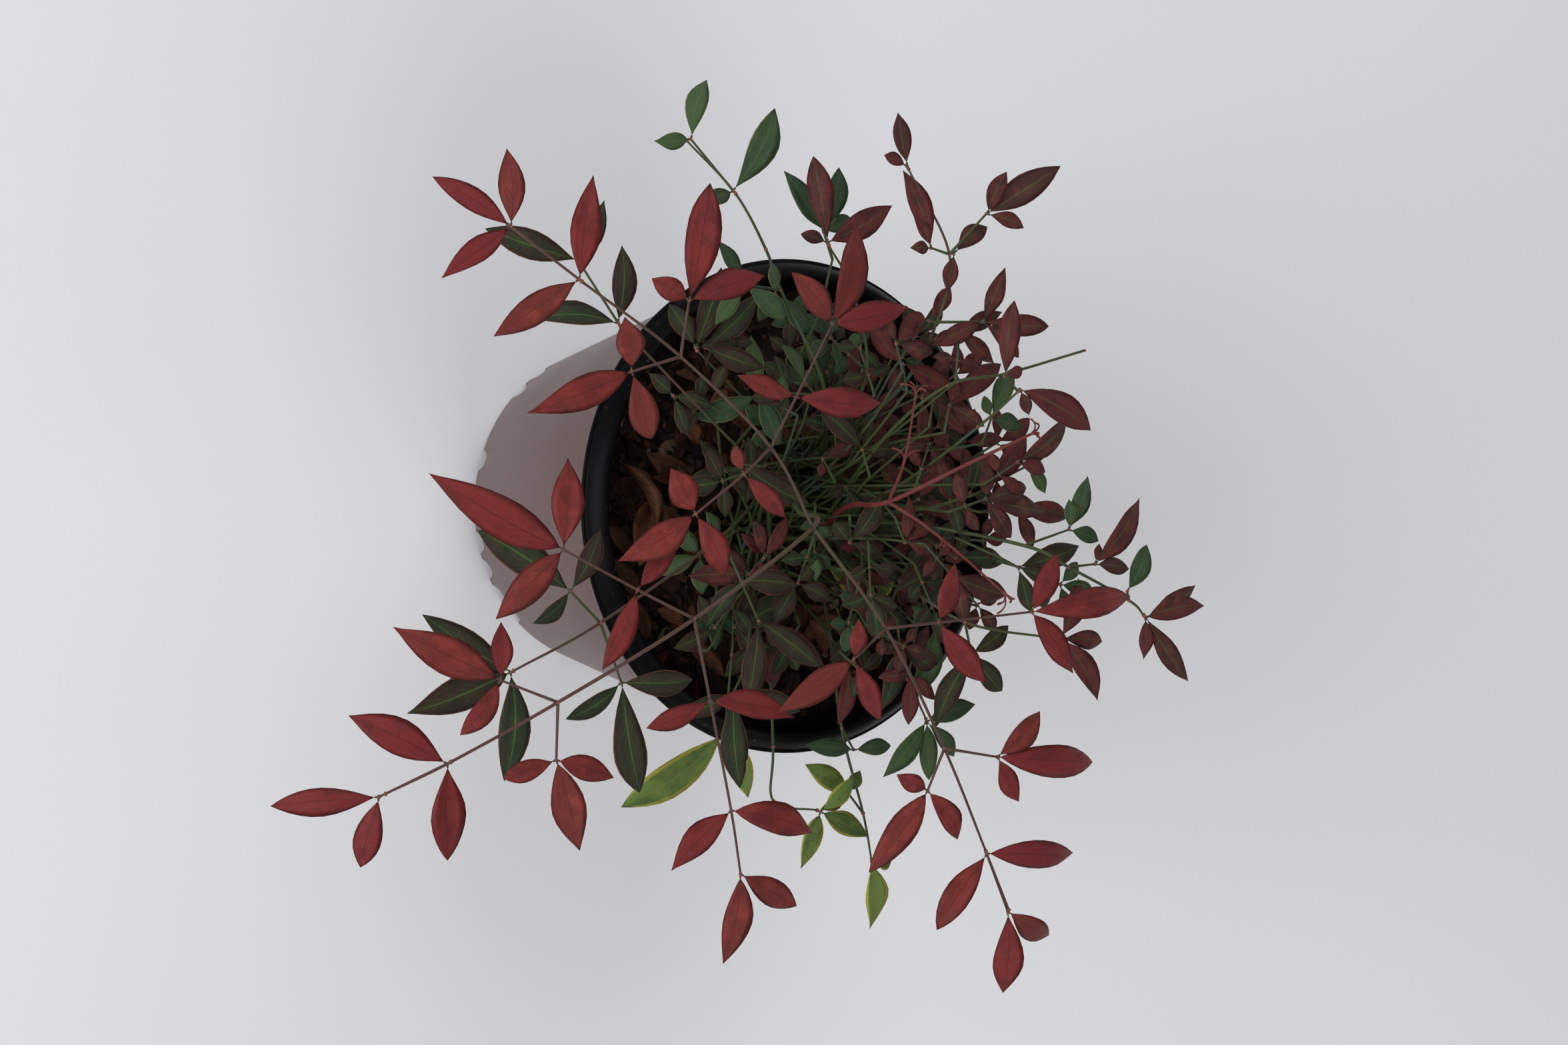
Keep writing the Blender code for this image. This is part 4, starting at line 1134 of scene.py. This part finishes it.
def makePot(materials):
    # A profile of (radius, height), run from the floor's middle up the inside, over the lip and down the
    # outside to the underside's middle, turned about Z. The wall's foot rises in arches at the drain holes.
    p = potPlan
    lipFoot = p["height"] - p["lipDepth"]
    rim, top, base = p["rimRadius"], p["height"], p["baseRadius"]
    edge = wallRadius(p["floor"]) - p["wall"] - 1.4
    floor = [(reach, p["floor"]) for reach in (0.0, p["middle"], edge)]
    inside = [(wallRadius(h) - p["wall"], h) for h in np.linspace(p["floor"] + 1.5, lipFoot, 12)]
    lip = [(rim + out, top + up) for out, up in p["lip"]] + [
        (rim - 0.25, lipFoot), (rim - 1.0, lipFoot + 0.1),
        (wallRadius(lipFoot) + 0.5, lipFoot + 0.2), (wallRadius(lipFoot) + 0.1, lipFoot - 0.2),
    ]
    outside = [(wallRadius(h), h) for h in np.linspace(lipFoot - 0.8, 1.2, 14)]
    under = [(base - inwards, h) for inwards, h in p["foot"]]
    under += [(p["middle"], p["underside"]), (0.0, p["underside"])]
    profile = np.array(floor + inside + lip + outside + under)
    turn = 2 * np.pi * np.arange(p["turns"]) / p["turns"]
    spots = np.array([(spot + 90 * quarter) % 360 for quarter in range(4) for spot in p["arches"]])
    gap = np.abs((np.degrees(turn)[:, None] - spots[None] + 180) % 360 - 180).min(axis=1)
    arch = p["arch"] * np.sqrt(np.maximum(0, 1 - (gap / p["archHalfTurn"]) ** 2))
    radius, height = profile[1:-1, 0][:, None], profile[1:-1, 1][:, None] + 0 * turn[None]
    firstOutside = len(floor) - 1 + len(inside) + len(lip)
    isFoot = (np.arange(len(radius))[:, None] >= firstOutside) & (height < p["arch"] * 1.6)
    lifted = arch[None] + height * (1 - arch[None] / (p["arch"] * 1.6))
    height = np.where(isFoot & (radius > base - p["recess"]), lifted, height)
    points = np.stack([radius * np.cos(turn), radius * np.sin(turn), height], axis=-1).reshape(-1, 3)
    points = np.vstack([points, [[0, 0, profile[0, 1]], [0, 0, profile[-1, 1]]]])
    quads = ringFaces(len(radius), p["turns"])[:, ::-1]
    fans = endFans(len(radius), p["turns"])[:, ::-1]

    # The wall takes the first material, the lip and the inside the second
    isDark = np.arange(len(radius) - 1) < firstOutside - 3
    kinds = np.concatenate([np.repeat(isDark, p["turns"]), np.ones(p["turns"]), np.zeros(p["turns"])])
    addPiece("nursery_pot", points, [quads, fans], materials, kinds, replaces=["pot"])


# low is a paler colour that fades upwards from the foot: painted reflection of the pale floor, which leaves
# the wall darker under the lip as painted shade. dust is a share of specks
potFinishes = {
    "wall": dict(
        skin=(0.078, 0.036, 0.030), dusty=(0.090, 0.048, 0.041), low=(0.146, 0.098, 0.093), dust=0.0,
        roughness=0.34, specular=0.30,
    ),
    "lip": dict(
        skin=(0.0026, 0.0026, 0.003), dusty=(0.0042, 0.0042, 0.0046), dust=0.14, specks=(0.24, 0.20, 0.17),
        roughness=0.38, specular=0.045,
    ),
}


def potMaterial(name, plan):
    # Vertical smears and a slow cloud of dust over moulded plastic. On the wall, a painted reflection of the
    # floor pales it towards the foot.
    made, tree, shader = newMaterial("moulded plastic " + name)
    here = objectPlace(tree)
    grain = placeGroup(tree, fineGrain, {"Place": here, "Size": 700.0})
    smear = ramp(tree, noise(tree, stretchedPlace(tree, here, (1.0, 1.0, 0.12)), 45.0, 1.0), 0.3, 0.75)
    cloud = ramp(tree, noise(tree, here, 22.0, 1.0), 0.3, 0.75)
    amount = calc(tree, "MULTIPLY_ADD", smear, 0.6, calc(tree, "MULTIPLY", cloud, 0.3))
    colour = blendColours(tree, amount, plan["skin"], plan["dusty"])
    if plan["dust"]:
        dust = ramp(tree, noise(tree, here, 420.0, 2.0), 0.68, 0.76)
        colour = blendColours(tree, calc(tree, "MULTIPLY", dust, plan["dust"]), colour, plan["specks"])
    else:
        # Painted reflection of the pale floor: the wall is paler towards the foot, fading upwards, and stays
        # darker under the lip as painted shade
        height = tree.nodes.new("ShaderNodeSeparateXYZ")
        tree.links.new(here, height.inputs[0])
        low = ramp(tree, height.outputs[2], -0.01, 0.115, (0.95, 0.0))
        colour = blendColours(tree, low, colour, plan["low"])
    tree.links.new(colour, shader.inputs["Base Color"])
    tree.links.new(calc(tree, "MULTIPLY_ADD", cloud, 0.06, plan["roughness"]), shader.inputs["Roughness"])
    bump(tree, shader, grain["Height"], 0.03, 0.0001)
    shader.inputs["Specular IOR Level"].default_value = plan["specular"]
    return made


# The soil: an uneven crown of damp mix, covered in bark chips and dead leaves. rough is its noises, as (seed,
# size, height).

soilPlan = dict(
    top=soilTop, radius=74.4, bottom=3.4, rings=90, turns=240, heap=3.0, heapRadius=30, sunk=2.2,
    rough=[(1, 26, 3.2), (2, 9, 2.2), (3, 3.6, 1.5), (4, 1.5, 0.7)],
)


def valueNoise(x, y, size, seed):
    # Smooth random heights on a square lattice, read between its four nearest points
    table = np.random.default_rng(seed).random((64, 64))
    u, v = x / size, y / size
    i, j = np.floor(u).astype(int), np.floor(v).astype(int)
    a, b = u - i, v - j
    a, b = a * a * (3 - 2 * a), b * b * (3 - 2 * b)
    near = table[i % 64, j % 64] * (1 - a) + table[(i + 1) % 64, j % 64] * a
    far = table[i % 64, (j + 1) % 64] * (1 - a) + table[(i + 1) % 64, (j + 1) % 64] * a
    return near * (1 - b) + far * b - 0.5


def soilHeight(x, y):
    heap = soilPlan["heap"] * np.exp(-((np.hypot(x + 4, y) / soilPlan["heapRadius"]) ** 2))
    height = soilPlan["top"] - soilPlan["sunk"] + heap
    rough = (valueNoise(x + 500, y + 500, size, seed) * depth for seed, size, depth in soilPlan["rough"])
    return height + sum(rough)


def makeSoil(material):
    # Rings of points out to the pot's wall, lifted by a heap at the middle and four noises, closed below
    p = soilPlan
    turn = 2 * np.pi * np.arange(p["turns"])[None] / p["turns"]
    reach = (np.linspace(0, 1, p["rings"] + 1)[1:] ** 0.8)[:, None] * p["radius"]
    x, y = reach * np.cos(turn), reach * np.sin(turn)
    crown = np.stack([x, y, soilHeight(x, y)], axis=-1)
    foot = wallRadius(p["bottom"]) - potPlan["wall"] - 0.4
    turn = turn[0]
    low = np.stack([foot * np.cos(turn), foot * np.sin(turn), np.full(p["turns"], p["bottom"])], axis=-1)
    middle = float(soilHeight(np.zeros(1), np.zeros(1))[0])
    points = np.vstack([crown.reshape(-1, 3), low, [[0, 0, middle], [0, 0, p["bottom"]]]])
    quads = ringFaces(p["rings"] + 1, p["turns"])[:, ::-1]
    fans = endFans(p["rings"] + 1, p["turns"])[:, ::-1]
    addPiece("potting_mix", points, [quads, fans], [material], replaces=["potting_soil"])


soilFinish = dict(
    dark=(0.0035, 0.0021, 0.0016), light=(0.012, 0.0064, 0.0042), crumb=(0.045, 0.026, 0.016), crumbs=0.4,
    roughness=0.85, specular=0.12, relief=(0.9, 0.0012),
)


def soilMaterial():
    made, tree, shader = newMaterial("damp potting mix")
    finish = soilFinish
    here = objectPlace(tree)
    damp = ramp(tree, noise(tree, here, 160.0, 5.0), 0.35, 0.7)
    colour = blendColours(tree, damp, finish["dark"], finish["light"])
    crumbs = ramp(tree, noise(tree, here, 900.0, 3.0), 0.62, 0.72)
    colour = blendColours(tree, calc(tree, "MULTIPLY", crumbs, finish["crumbs"]), colour, finish["crumb"])
    dress(tree, shader, colour, noise(tree, here, 650.0, 6.0, 0.7), finish)
    return made


def drawnMaterial(name, plan):
    # Two colours and a relief along one drawn-out noise, for bark and wood
    made, tree, shader = newMaterial(name)
    lines = noise(tree, stretchedPlace(tree, objectPlace(tree), plan["stretch"]), plan["scale"], 4.0, 0.65)
    colour = blendColours(tree, ramp(tree, lines, *plan["range"]), plan["dark"], plan["light"])
    dress(tree, shader, colour, lines, plan)
    return made


# Bark chips: how many, the smallest and largest half width, how many are larger and by how much, how long
# they are for their width, how thick, and how steeply they lie
chipPlan = dict(
    count=2800, sides=7, size=(0.7, 2.3), large=0.10, larger=1.9, length=(1.1, 2.6), ragged=(0.6, 1.15),
    thick=(0.18, 0.5), crown=(0.5, 0.9), tip=0.33,
)
chipFinish = dict(
    stretch=(1.0, 3.0, 1.0), scale=420.0, range=(0.32, 0.7),
    roughness=0.8, specular=0.15, relief=(0.7, 0.0008),
)
chipKinds = {
    "dark bark chip": dict(share=0.48, dark=(0.005, 0.003, 0.0022), light=(0.018, 0.0095, 0.006)),
    "brown bark chip": dict(share=0.32, dark=(0.012, 0.006, 0.0036), light=(0.040, 0.019, 0.011)),
    "red-brown bark chip": dict(share=0.16, dark=(0.028, 0.010, 0.005), light=(0.085, 0.033, 0.015)),
    "pale wood chip": dict(share=0.04, dark=(0.06, 0.038, 0.022), light=(0.15, 0.10, 0.062)),
}


def scatterSpots(count, chance, most):
    # Even cover of a disc
    reach = most * np.sqrt(chance.random(count))
    turn = chance.random(count) * 2 * np.pi
    return reach * np.cos(turn), reach * np.sin(turn)


def makeChips(materials):
    # Each chip is a slab with a low peak on either side, each corner moved by a seeded share, turned, tipped
    # and laid on the soil
    p = chipPlan
    chance = np.random.default_rng(21)
    count, sides = p["count"], p["sides"]
    x, y = scatterSpots(count, chance, soilPlan["radius"] - 2.5)
    size = chance.uniform(*p["size"], count) * np.where(chance.random(count) < p["large"], p["larger"], 1.0)
    longer = chance.uniform(*p["length"], count)
    turn = 2 * np.pi * np.arange(sides) / sides
    ragged = chance.uniform(*p["ragged"], (count, sides, 1))
    rim = np.stack([np.cos(turn), np.sin(turn)], axis=-1)[None] * ragged
    rim = rim * np.stack([size * longer, size], axis=-1)[:, None]
    deep = size * chance.uniform(*p["thick"], count)

    def layer(outline, height):
        return np.concatenate([outline, height[:, None, None] * np.ones((1, outline.shape[1], 1))], axis=-1)

    peak = np.zeros((count, 1, 2))
    peakHeight = deep * chance.uniform(*p["crown"], count)
    local = np.concatenate([
        layer(rim * 0.86, deep / 2), layer(rim, -deep / 2), layer(peak, peakHeight), layer(peak, -deep * 0.6),
    ], axis=1)
    way = chance.random(count) * 2 * np.pi
    tip = chance.normal(0, p["tip"], (count, 2))
    local[..., 2] += local[..., 0] * tip[:, :1] + local[..., 1] * tip[:, 1:]
    cos, sin = np.cos(way)[:, None], np.sin(way)[:, None]
    placed = np.stack([
        x[:, None] + local[..., 0] * cos - local[..., 1] * sin,
        y[:, None] + local[..., 0] * sin + local[..., 1] * cos,
        soilHeight(x, y)[:, None] + deep[:, None] * 0.35 + local[..., 2],
    ], axis=-1)
    placed = placed[np.hypot(placed[..., 0], placed[..., 1]).max(axis=1) < soilPlan["radius"] + 0.6]
    quads, fans = (
        repeatFaces(part[:, ::-1], len(placed), placed.shape[1])
        for part in (ringFaces(2, sides), endFans(2, sides))
    )
    kinds = chance.choice(len(materials), len(placed), p=[plan["share"] for plan in chipKinds.values()])
    kinds = np.concatenate([np.repeat(kinds, sides), np.repeat(kinds, 2 * sides)])
    piece = addPiece("bark_chips", placed.reshape(-1, 3), [quads, fans], materials, kinds)
    piece.data.polygons.foreach_set("use_smooth", np.zeros(len(kinds), bool))


litterFinish = dict(
    tan=(0.14, 0.045, 0.016), brown=(0.070, 0.030, 0.014), rotten=(0.038, 0.017, 0.009),
    vein=(0.12, 0.060, 0.030), midrib=(0.13, 0.070, 0.036),
    roughness=0.7, specular=0.2, relief=(0.6, 0.0005),
)


def litterMaterial():
    made, tree, shader = newMaterial("dead leaf")
    finish = litterFinish
    pattern = placeGroup(tree, leafPattern, {"Place": mapPlace(tree, "leafMap"), "Veins": 7.0})
    tint = blendColours(tree, pattern["Leaf tone"], finish["tan"], finish["brown"])
    colour = blendColours(tree, ramp(tree, pattern["Mottle"], 0.35, 0.7), tint, finish["rotten"])
    colour = blendColours(tree, calc(tree, "MULTIPLY", pattern["Side veins"], 0.35), colour, finish["vein"])
    colour = blendColours(tree, calc(tree, "MULTIPLY", pattern["Midrib"], 0.6), colour, finish["midrib"])
    dress(tree, shader, colour, calc(tree, "ADD", pattern["Side veins"], pattern["Mottle"]), finish)
    return made


# Dead leaflets that show from above, as their two ends and how far they lean
fallenLeaves = [
    dict(base=(-14, -64, 109), tip=(9, -55, 117), up=(0, 0.8, 0.6)),
    dict(base=(-4, -48, 109), tip=(20, -62, 118), up=(0.2, -0.7, 0.7)),
    dict(base=(6, -70, 107), tip=(20, -60, 112), up=(0.3, 0.5, 0.8)),
    dict(base=(-29, 1, 107), tip=(-18, 17, 110), up=(-0.2, 0.1, 1)),
    dict(base=(57, -17, 107), tip=(49, 2, 111), up=(0.2, 0.1, 1)),
    dict(base=(44, -38, 107), tip=(57, -22, 108), up=(0.1, 0.2, 1)),
    dict(base=(28, -60, 106), tip=(45, -54, 109), up=(0, 0.3, 1)),
    dict(base=(50, 20, 106), tip=(38, 12, 108), up=(0, 0.3, 1)),
]


# The seeded ones: how many, how far out by the wall and over the rest, and their lengths
litterPlan = dict(count=16, byWall=(0.55, 0.9), wallTurns=(-170, -30), most=0.88, lengths=(9, 21), above=2.2)
curledShape = dict(
    leafShape, width=0.2, fold=0.6, foldSpread=0.4, curl=-0.3, arch=0.04, archSpread=0.08,
    bend=0.09, twist=0.5, ripple=0.16,
)


def makeLitter(material):
    # Curled dead leaflets, thickest by the wall on the side the top frond leans to
    p = litterPlan
    radius = soilPlan["radius"]
    chance = np.random.default_rng(8)
    dead = list(fallenLeaves)
    for number in range(p["count"]):
        if number % 2:
            reach, turn = radius * chance.uniform(*p["byWall"]), math.radians(chance.uniform(*p["wallTurns"]))
        else:
            reach, turn = radius * math.sqrt(chance.random()) * p["most"], chance.random() * 2 * math.pi
        middle = np.array([reach * math.cos(turn), reach * math.sin(turn)])
        length = chance.uniform(*p["lengths"])
        way = chance.random() * 2 * math.pi
        half = np.array([math.cos(way), math.sin(way)]) * length / 2
        ends = [middle - half, middle + half]
        if max(np.hypot(*end) for end in ends) > radius - 1:
            continue
        base, tip = (
            np.array([*end, float(soilHeight(end[:1], end[1:])[0]) + p["above"] + chance.uniform(0, 2.5)])
            for end in ends
        )
        dead.append(dict(base=base, tip=tip, up=(chance.uniform(-0.5, 0.5), chance.uniform(-0.5, 0.5), 1)))
    points, faces, kinds, maps = leafBlades(dead, curledShape, 5)
    addPiece("dead_leaves", points, faces, [material], maps=maps)


# Canes: short brown stubs with cracked bark, rings of old leaf scars and a cut top

def makeCanes(material):
    # Rings of radius r(t) round each cane's axis, swollen at the foot and at the leaf scars, with furrows
    # along it
    p = canePlan
    for number, name in enumerate(p["canes"]):
        foot, tip = caneAxis(name)
        foot = foot - np.array([0, 0, p["sunk"]])
        t = np.linspace(0, 1, p["rows"])[:, None]
        turn = 2 * np.pi * np.arange(p["sides"])[None] / p["sides"]
        radius = p["footRadius"] + (p["tipRadius"] - p["footRadius"]) * t + p["flare"] * np.exp(-t * 14)
        radius = radius + sum(p["scarDepth"] * np.exp(-((t - spot) / 0.02) ** 2) for spot in p["scars"])
        furrow = 0.16 * np.sin(turn * 9 + 2 * np.sin(t * 9 + number)) + 0.10 * np.sin(turn * 17 + t * 23)
        radius = (radius + furrow) * np.where(t > p["cutFrom"], 1 - (t - p["cutFrom"]) * 9, 1)
        rings = np.stack([radius * np.cos(turn), radius * np.sin(turn), 0 * radius], axis=-1)
        rings = (foot + (tip - foot) * t)[:, None] + rings
        points = np.vstack([rings.reshape(-1, 3), [foot, tip - (0, 0, 0.5)]])
        faces = [ringFaces(p["rows"], p["sides"]), endFans(p["rows"], p["sides"])]
        addPiece(name + "_bark", points, faces, [material], replaces=[name])


caneFinish = dict(
    dark=(0.030, 0.019, 0.012), light=(0.125, 0.088, 0.058),
    stretch=(1.0, 1.0, 0.22), scale=900.0, range=(0.35, 0.68),
    roughness=0.75, specular=0.15, relief=(0.8, 0.0007),
)


# Spent flower stalks, coral red, forking into curled bare branchlets

flowerPlan = dict(
    forks=[
        dict(start=1, nodes=[(-14, -16, 200), (-34, -22, 214)], thick=(1.1, 0.7), tips=4),
        dict(start=1, nodes=[(6, -6, 196), (14, 2, 202), (27, 16, 208)], thick=(1.3, 0.7), tips=6),
    ],
    curl=5.5, droop=0.25, radii=(0.42, 0.3, 0.24, 0.34), endTips=6, middleTips=2,
)


def makeFlowerStalks(material):
    tubes = Tubes(10)
    chance = random.Random("flowers")
    plan = flowerStalk
    main = smoothPath([limbFoot(plan)] + plan["nodes"], 14)
    tubes.add(main, np.array(plan["thick"]) / 2)
    ends = [(main[-1], unit(main[-1] - main[-4]), flowerPlan["endTips"])]
    for fork in flowerPlan["forks"]:
        path = smoothPath([plan["nodes"][fork["start"]]] + fork["nodes"], 10)
        tubes.add(path, np.array(fork["thick"]) / 2)
        ends.append((path[-1], unit(path[-1] - path[-4]), fork["tips"]))
        half = len(path) // 2
        ends.append((path[half], unit(path[half + 2] - path[half]), flowerPlan["middleTips"]))
    t = np.linspace(0, 1, 9)[:, None]
    down = np.array([0, 0, -flowerPlan["droop"]])
    for place, way, count in ends:
        for number in range(count):
            turn = 2 * math.pi * (number + chance.uniform(-0.3, 0.3)) / count
            side = unit(np.cross(way, (math.cos(turn), math.sin(turn), 0.35)))
            long = flowerPlan["curl"] * chance.uniform(0.7, 1.5)
            hook = place + way * long * (t - 0.45 * t ** 3) + side * long * 0.75 * t ** 1.6
            tubes.add(hook + down * long * t ** 3, flowerPlan["radii"])
    tubes.piece("flower_stalks", material, "flower_stalk", ["flower_stalk"])


flowerFinish = dict(
    skin=(0.122, 0.019, 0.017), pale=(0.155, 0.034, 0.028),
    roughness=0.48, specular=0.25, relief=(0.35, 0.0002),
)


def flowerMaterial():
    made, tree, shader = newMaterial("coral stalk skin")
    here = objectPlace(tree)
    paler = ramp(tree, noise(tree, here, 120.0), 0.35, 0.7)
    colour = blendColours(tree, paler, flowerFinish["skin"], flowerFinish["pale"])
    grain = placeGroup(tree, fineGrain, {"Place": here, "Size": stalkFinish["grain"]})
    dress(tree, shader, colour, grain["Height"], flowerFinish)
    return made


# Floor, lights and camera

floorFinish = dict(colour=(0.84, 0.84, 0.85), roughness=0.9)


def makeStage():
    bpy.ops.mesh.primitive_plane_add(size=6, location=(0, 0, -0.0004))
    floor = bpy.context.object
    floor.name = "floor"
    made, tree, shader = newMaterial("pale floor")
    shader.inputs["Base Color"].default_value = (*floorFinish["colour"], 1)
    shader.inputs["Roughness"].default_value = floorFinish["roughness"]
    floor.data.materials.append(made)


lightPlan = dict(
    world=0.27, worldColour=(0.97, 0.98, 1.0), target=(0, 0, 0.12),
    lamps={
        "window_side": dict(place=(-1.5, 0.2, 1.5), size=1.3, power=12.0, colour=(0.98, 0.99, 1.0)),
        "room_side": dict(place=(1.5, 0.3, 1.5), size=1.3, power=12.2, colour=(1.0, 0.99, 0.98)),
        "low_front": dict(place=(0.0, -2.3, 1.05), size=1.7, power=47, colour=(0.93, 0.96, 1.0)),
    },
)


def placeView(name, data, right, up, back, place):
    # A lamp or camera by its own three axes and its place
    view = bpy.data.objects.new(name, data)
    view.matrix_world = Matrix([(right[i], up[i], back[i], place[i]) for i in range(3)] + [(0, 0, 0, 1)])
    bpy.context.scene.collection.objects.link(view)
    return view


def makeLights():
    world = bpy.data.worlds.new("soft room")
    bpy.context.scene.world = world
    world.use_nodes = True
    background = world.node_tree.nodes["Background"]
    background.inputs[0].default_value = (*lightPlan["worldColour"], 1)
    background.inputs[1].default_value = lightPlan["world"]
    for name, plan in lightPlan["lamps"].items():
        light = bpy.data.lights.new(name, "AREA")
        light.size = plan["size"]
        light.energy = plan["power"]
        light.color = plan["colour"]
        back = unit(np.array(plan["place"]) - lightPlan["target"])
        right = unit(np.cross((0, 0, 1), back))
        placeView(name, light, right, np.cross(back, right), back, plan["place"])


cameraPlan = dict(place=(0.0055, -0.7004, 1.1295), elevation=55.5, lens=85.0)


def makeCamera():
    # The picture lies on its side: its right points upwards and towards +Y, and its foot is +X
    data = bpy.data.cameras.new("camera")
    data.lens = cameraPlan["lens"]
    tilt = math.radians(cameraPlan["elevation"])
    right = (0, math.sin(tilt), math.cos(tilt))
    back = (0, -math.cos(tilt), math.sin(tilt))
    bpy.context.scene.camera = placeView("camera", data, right, (-1, 0, 0), back, cameraPlan["place"])


makeStage()
makeLights()
makeCamera()
bpy.context.scene.view_settings.view_transform = "Standard"
print("stage ready")

makePot([potMaterial(name, plan) for name, plan in potFinishes.items()])
makeSoil(soilMaterial())
makeChips([drawnMaterial(name, chipFinish | plan) for name, plan in chipKinds.items()])
makeLitter(litterMaterial())
print("pot and soil ready")

makeCanes(drawnMaterial("cane bark", caneFinish))
stalks, joints, leafLists = makePlant()
stalks.piece("leaf_stalks", stalkMaterial(), "stalk", list(limbs))
makeJoints(joints, jointMaterial())
makeFlowerStalks(flowerMaterial())
print("canes and stalks ready")

for number, (kind, leaves) in enumerate(leafLists.items()):
    points, faces, faceKinds, maps = leafBlades(leaves, leafShape, 100 + number)
    replaced = [name for name, plan in sprays.items() if plan["kind"] == kind]
    addPiece(kind + "_leaves", points, faces, leafMaterials[kind], faceKinds, maps, replaced)
    print(kind, "leaves:", len(leaves))
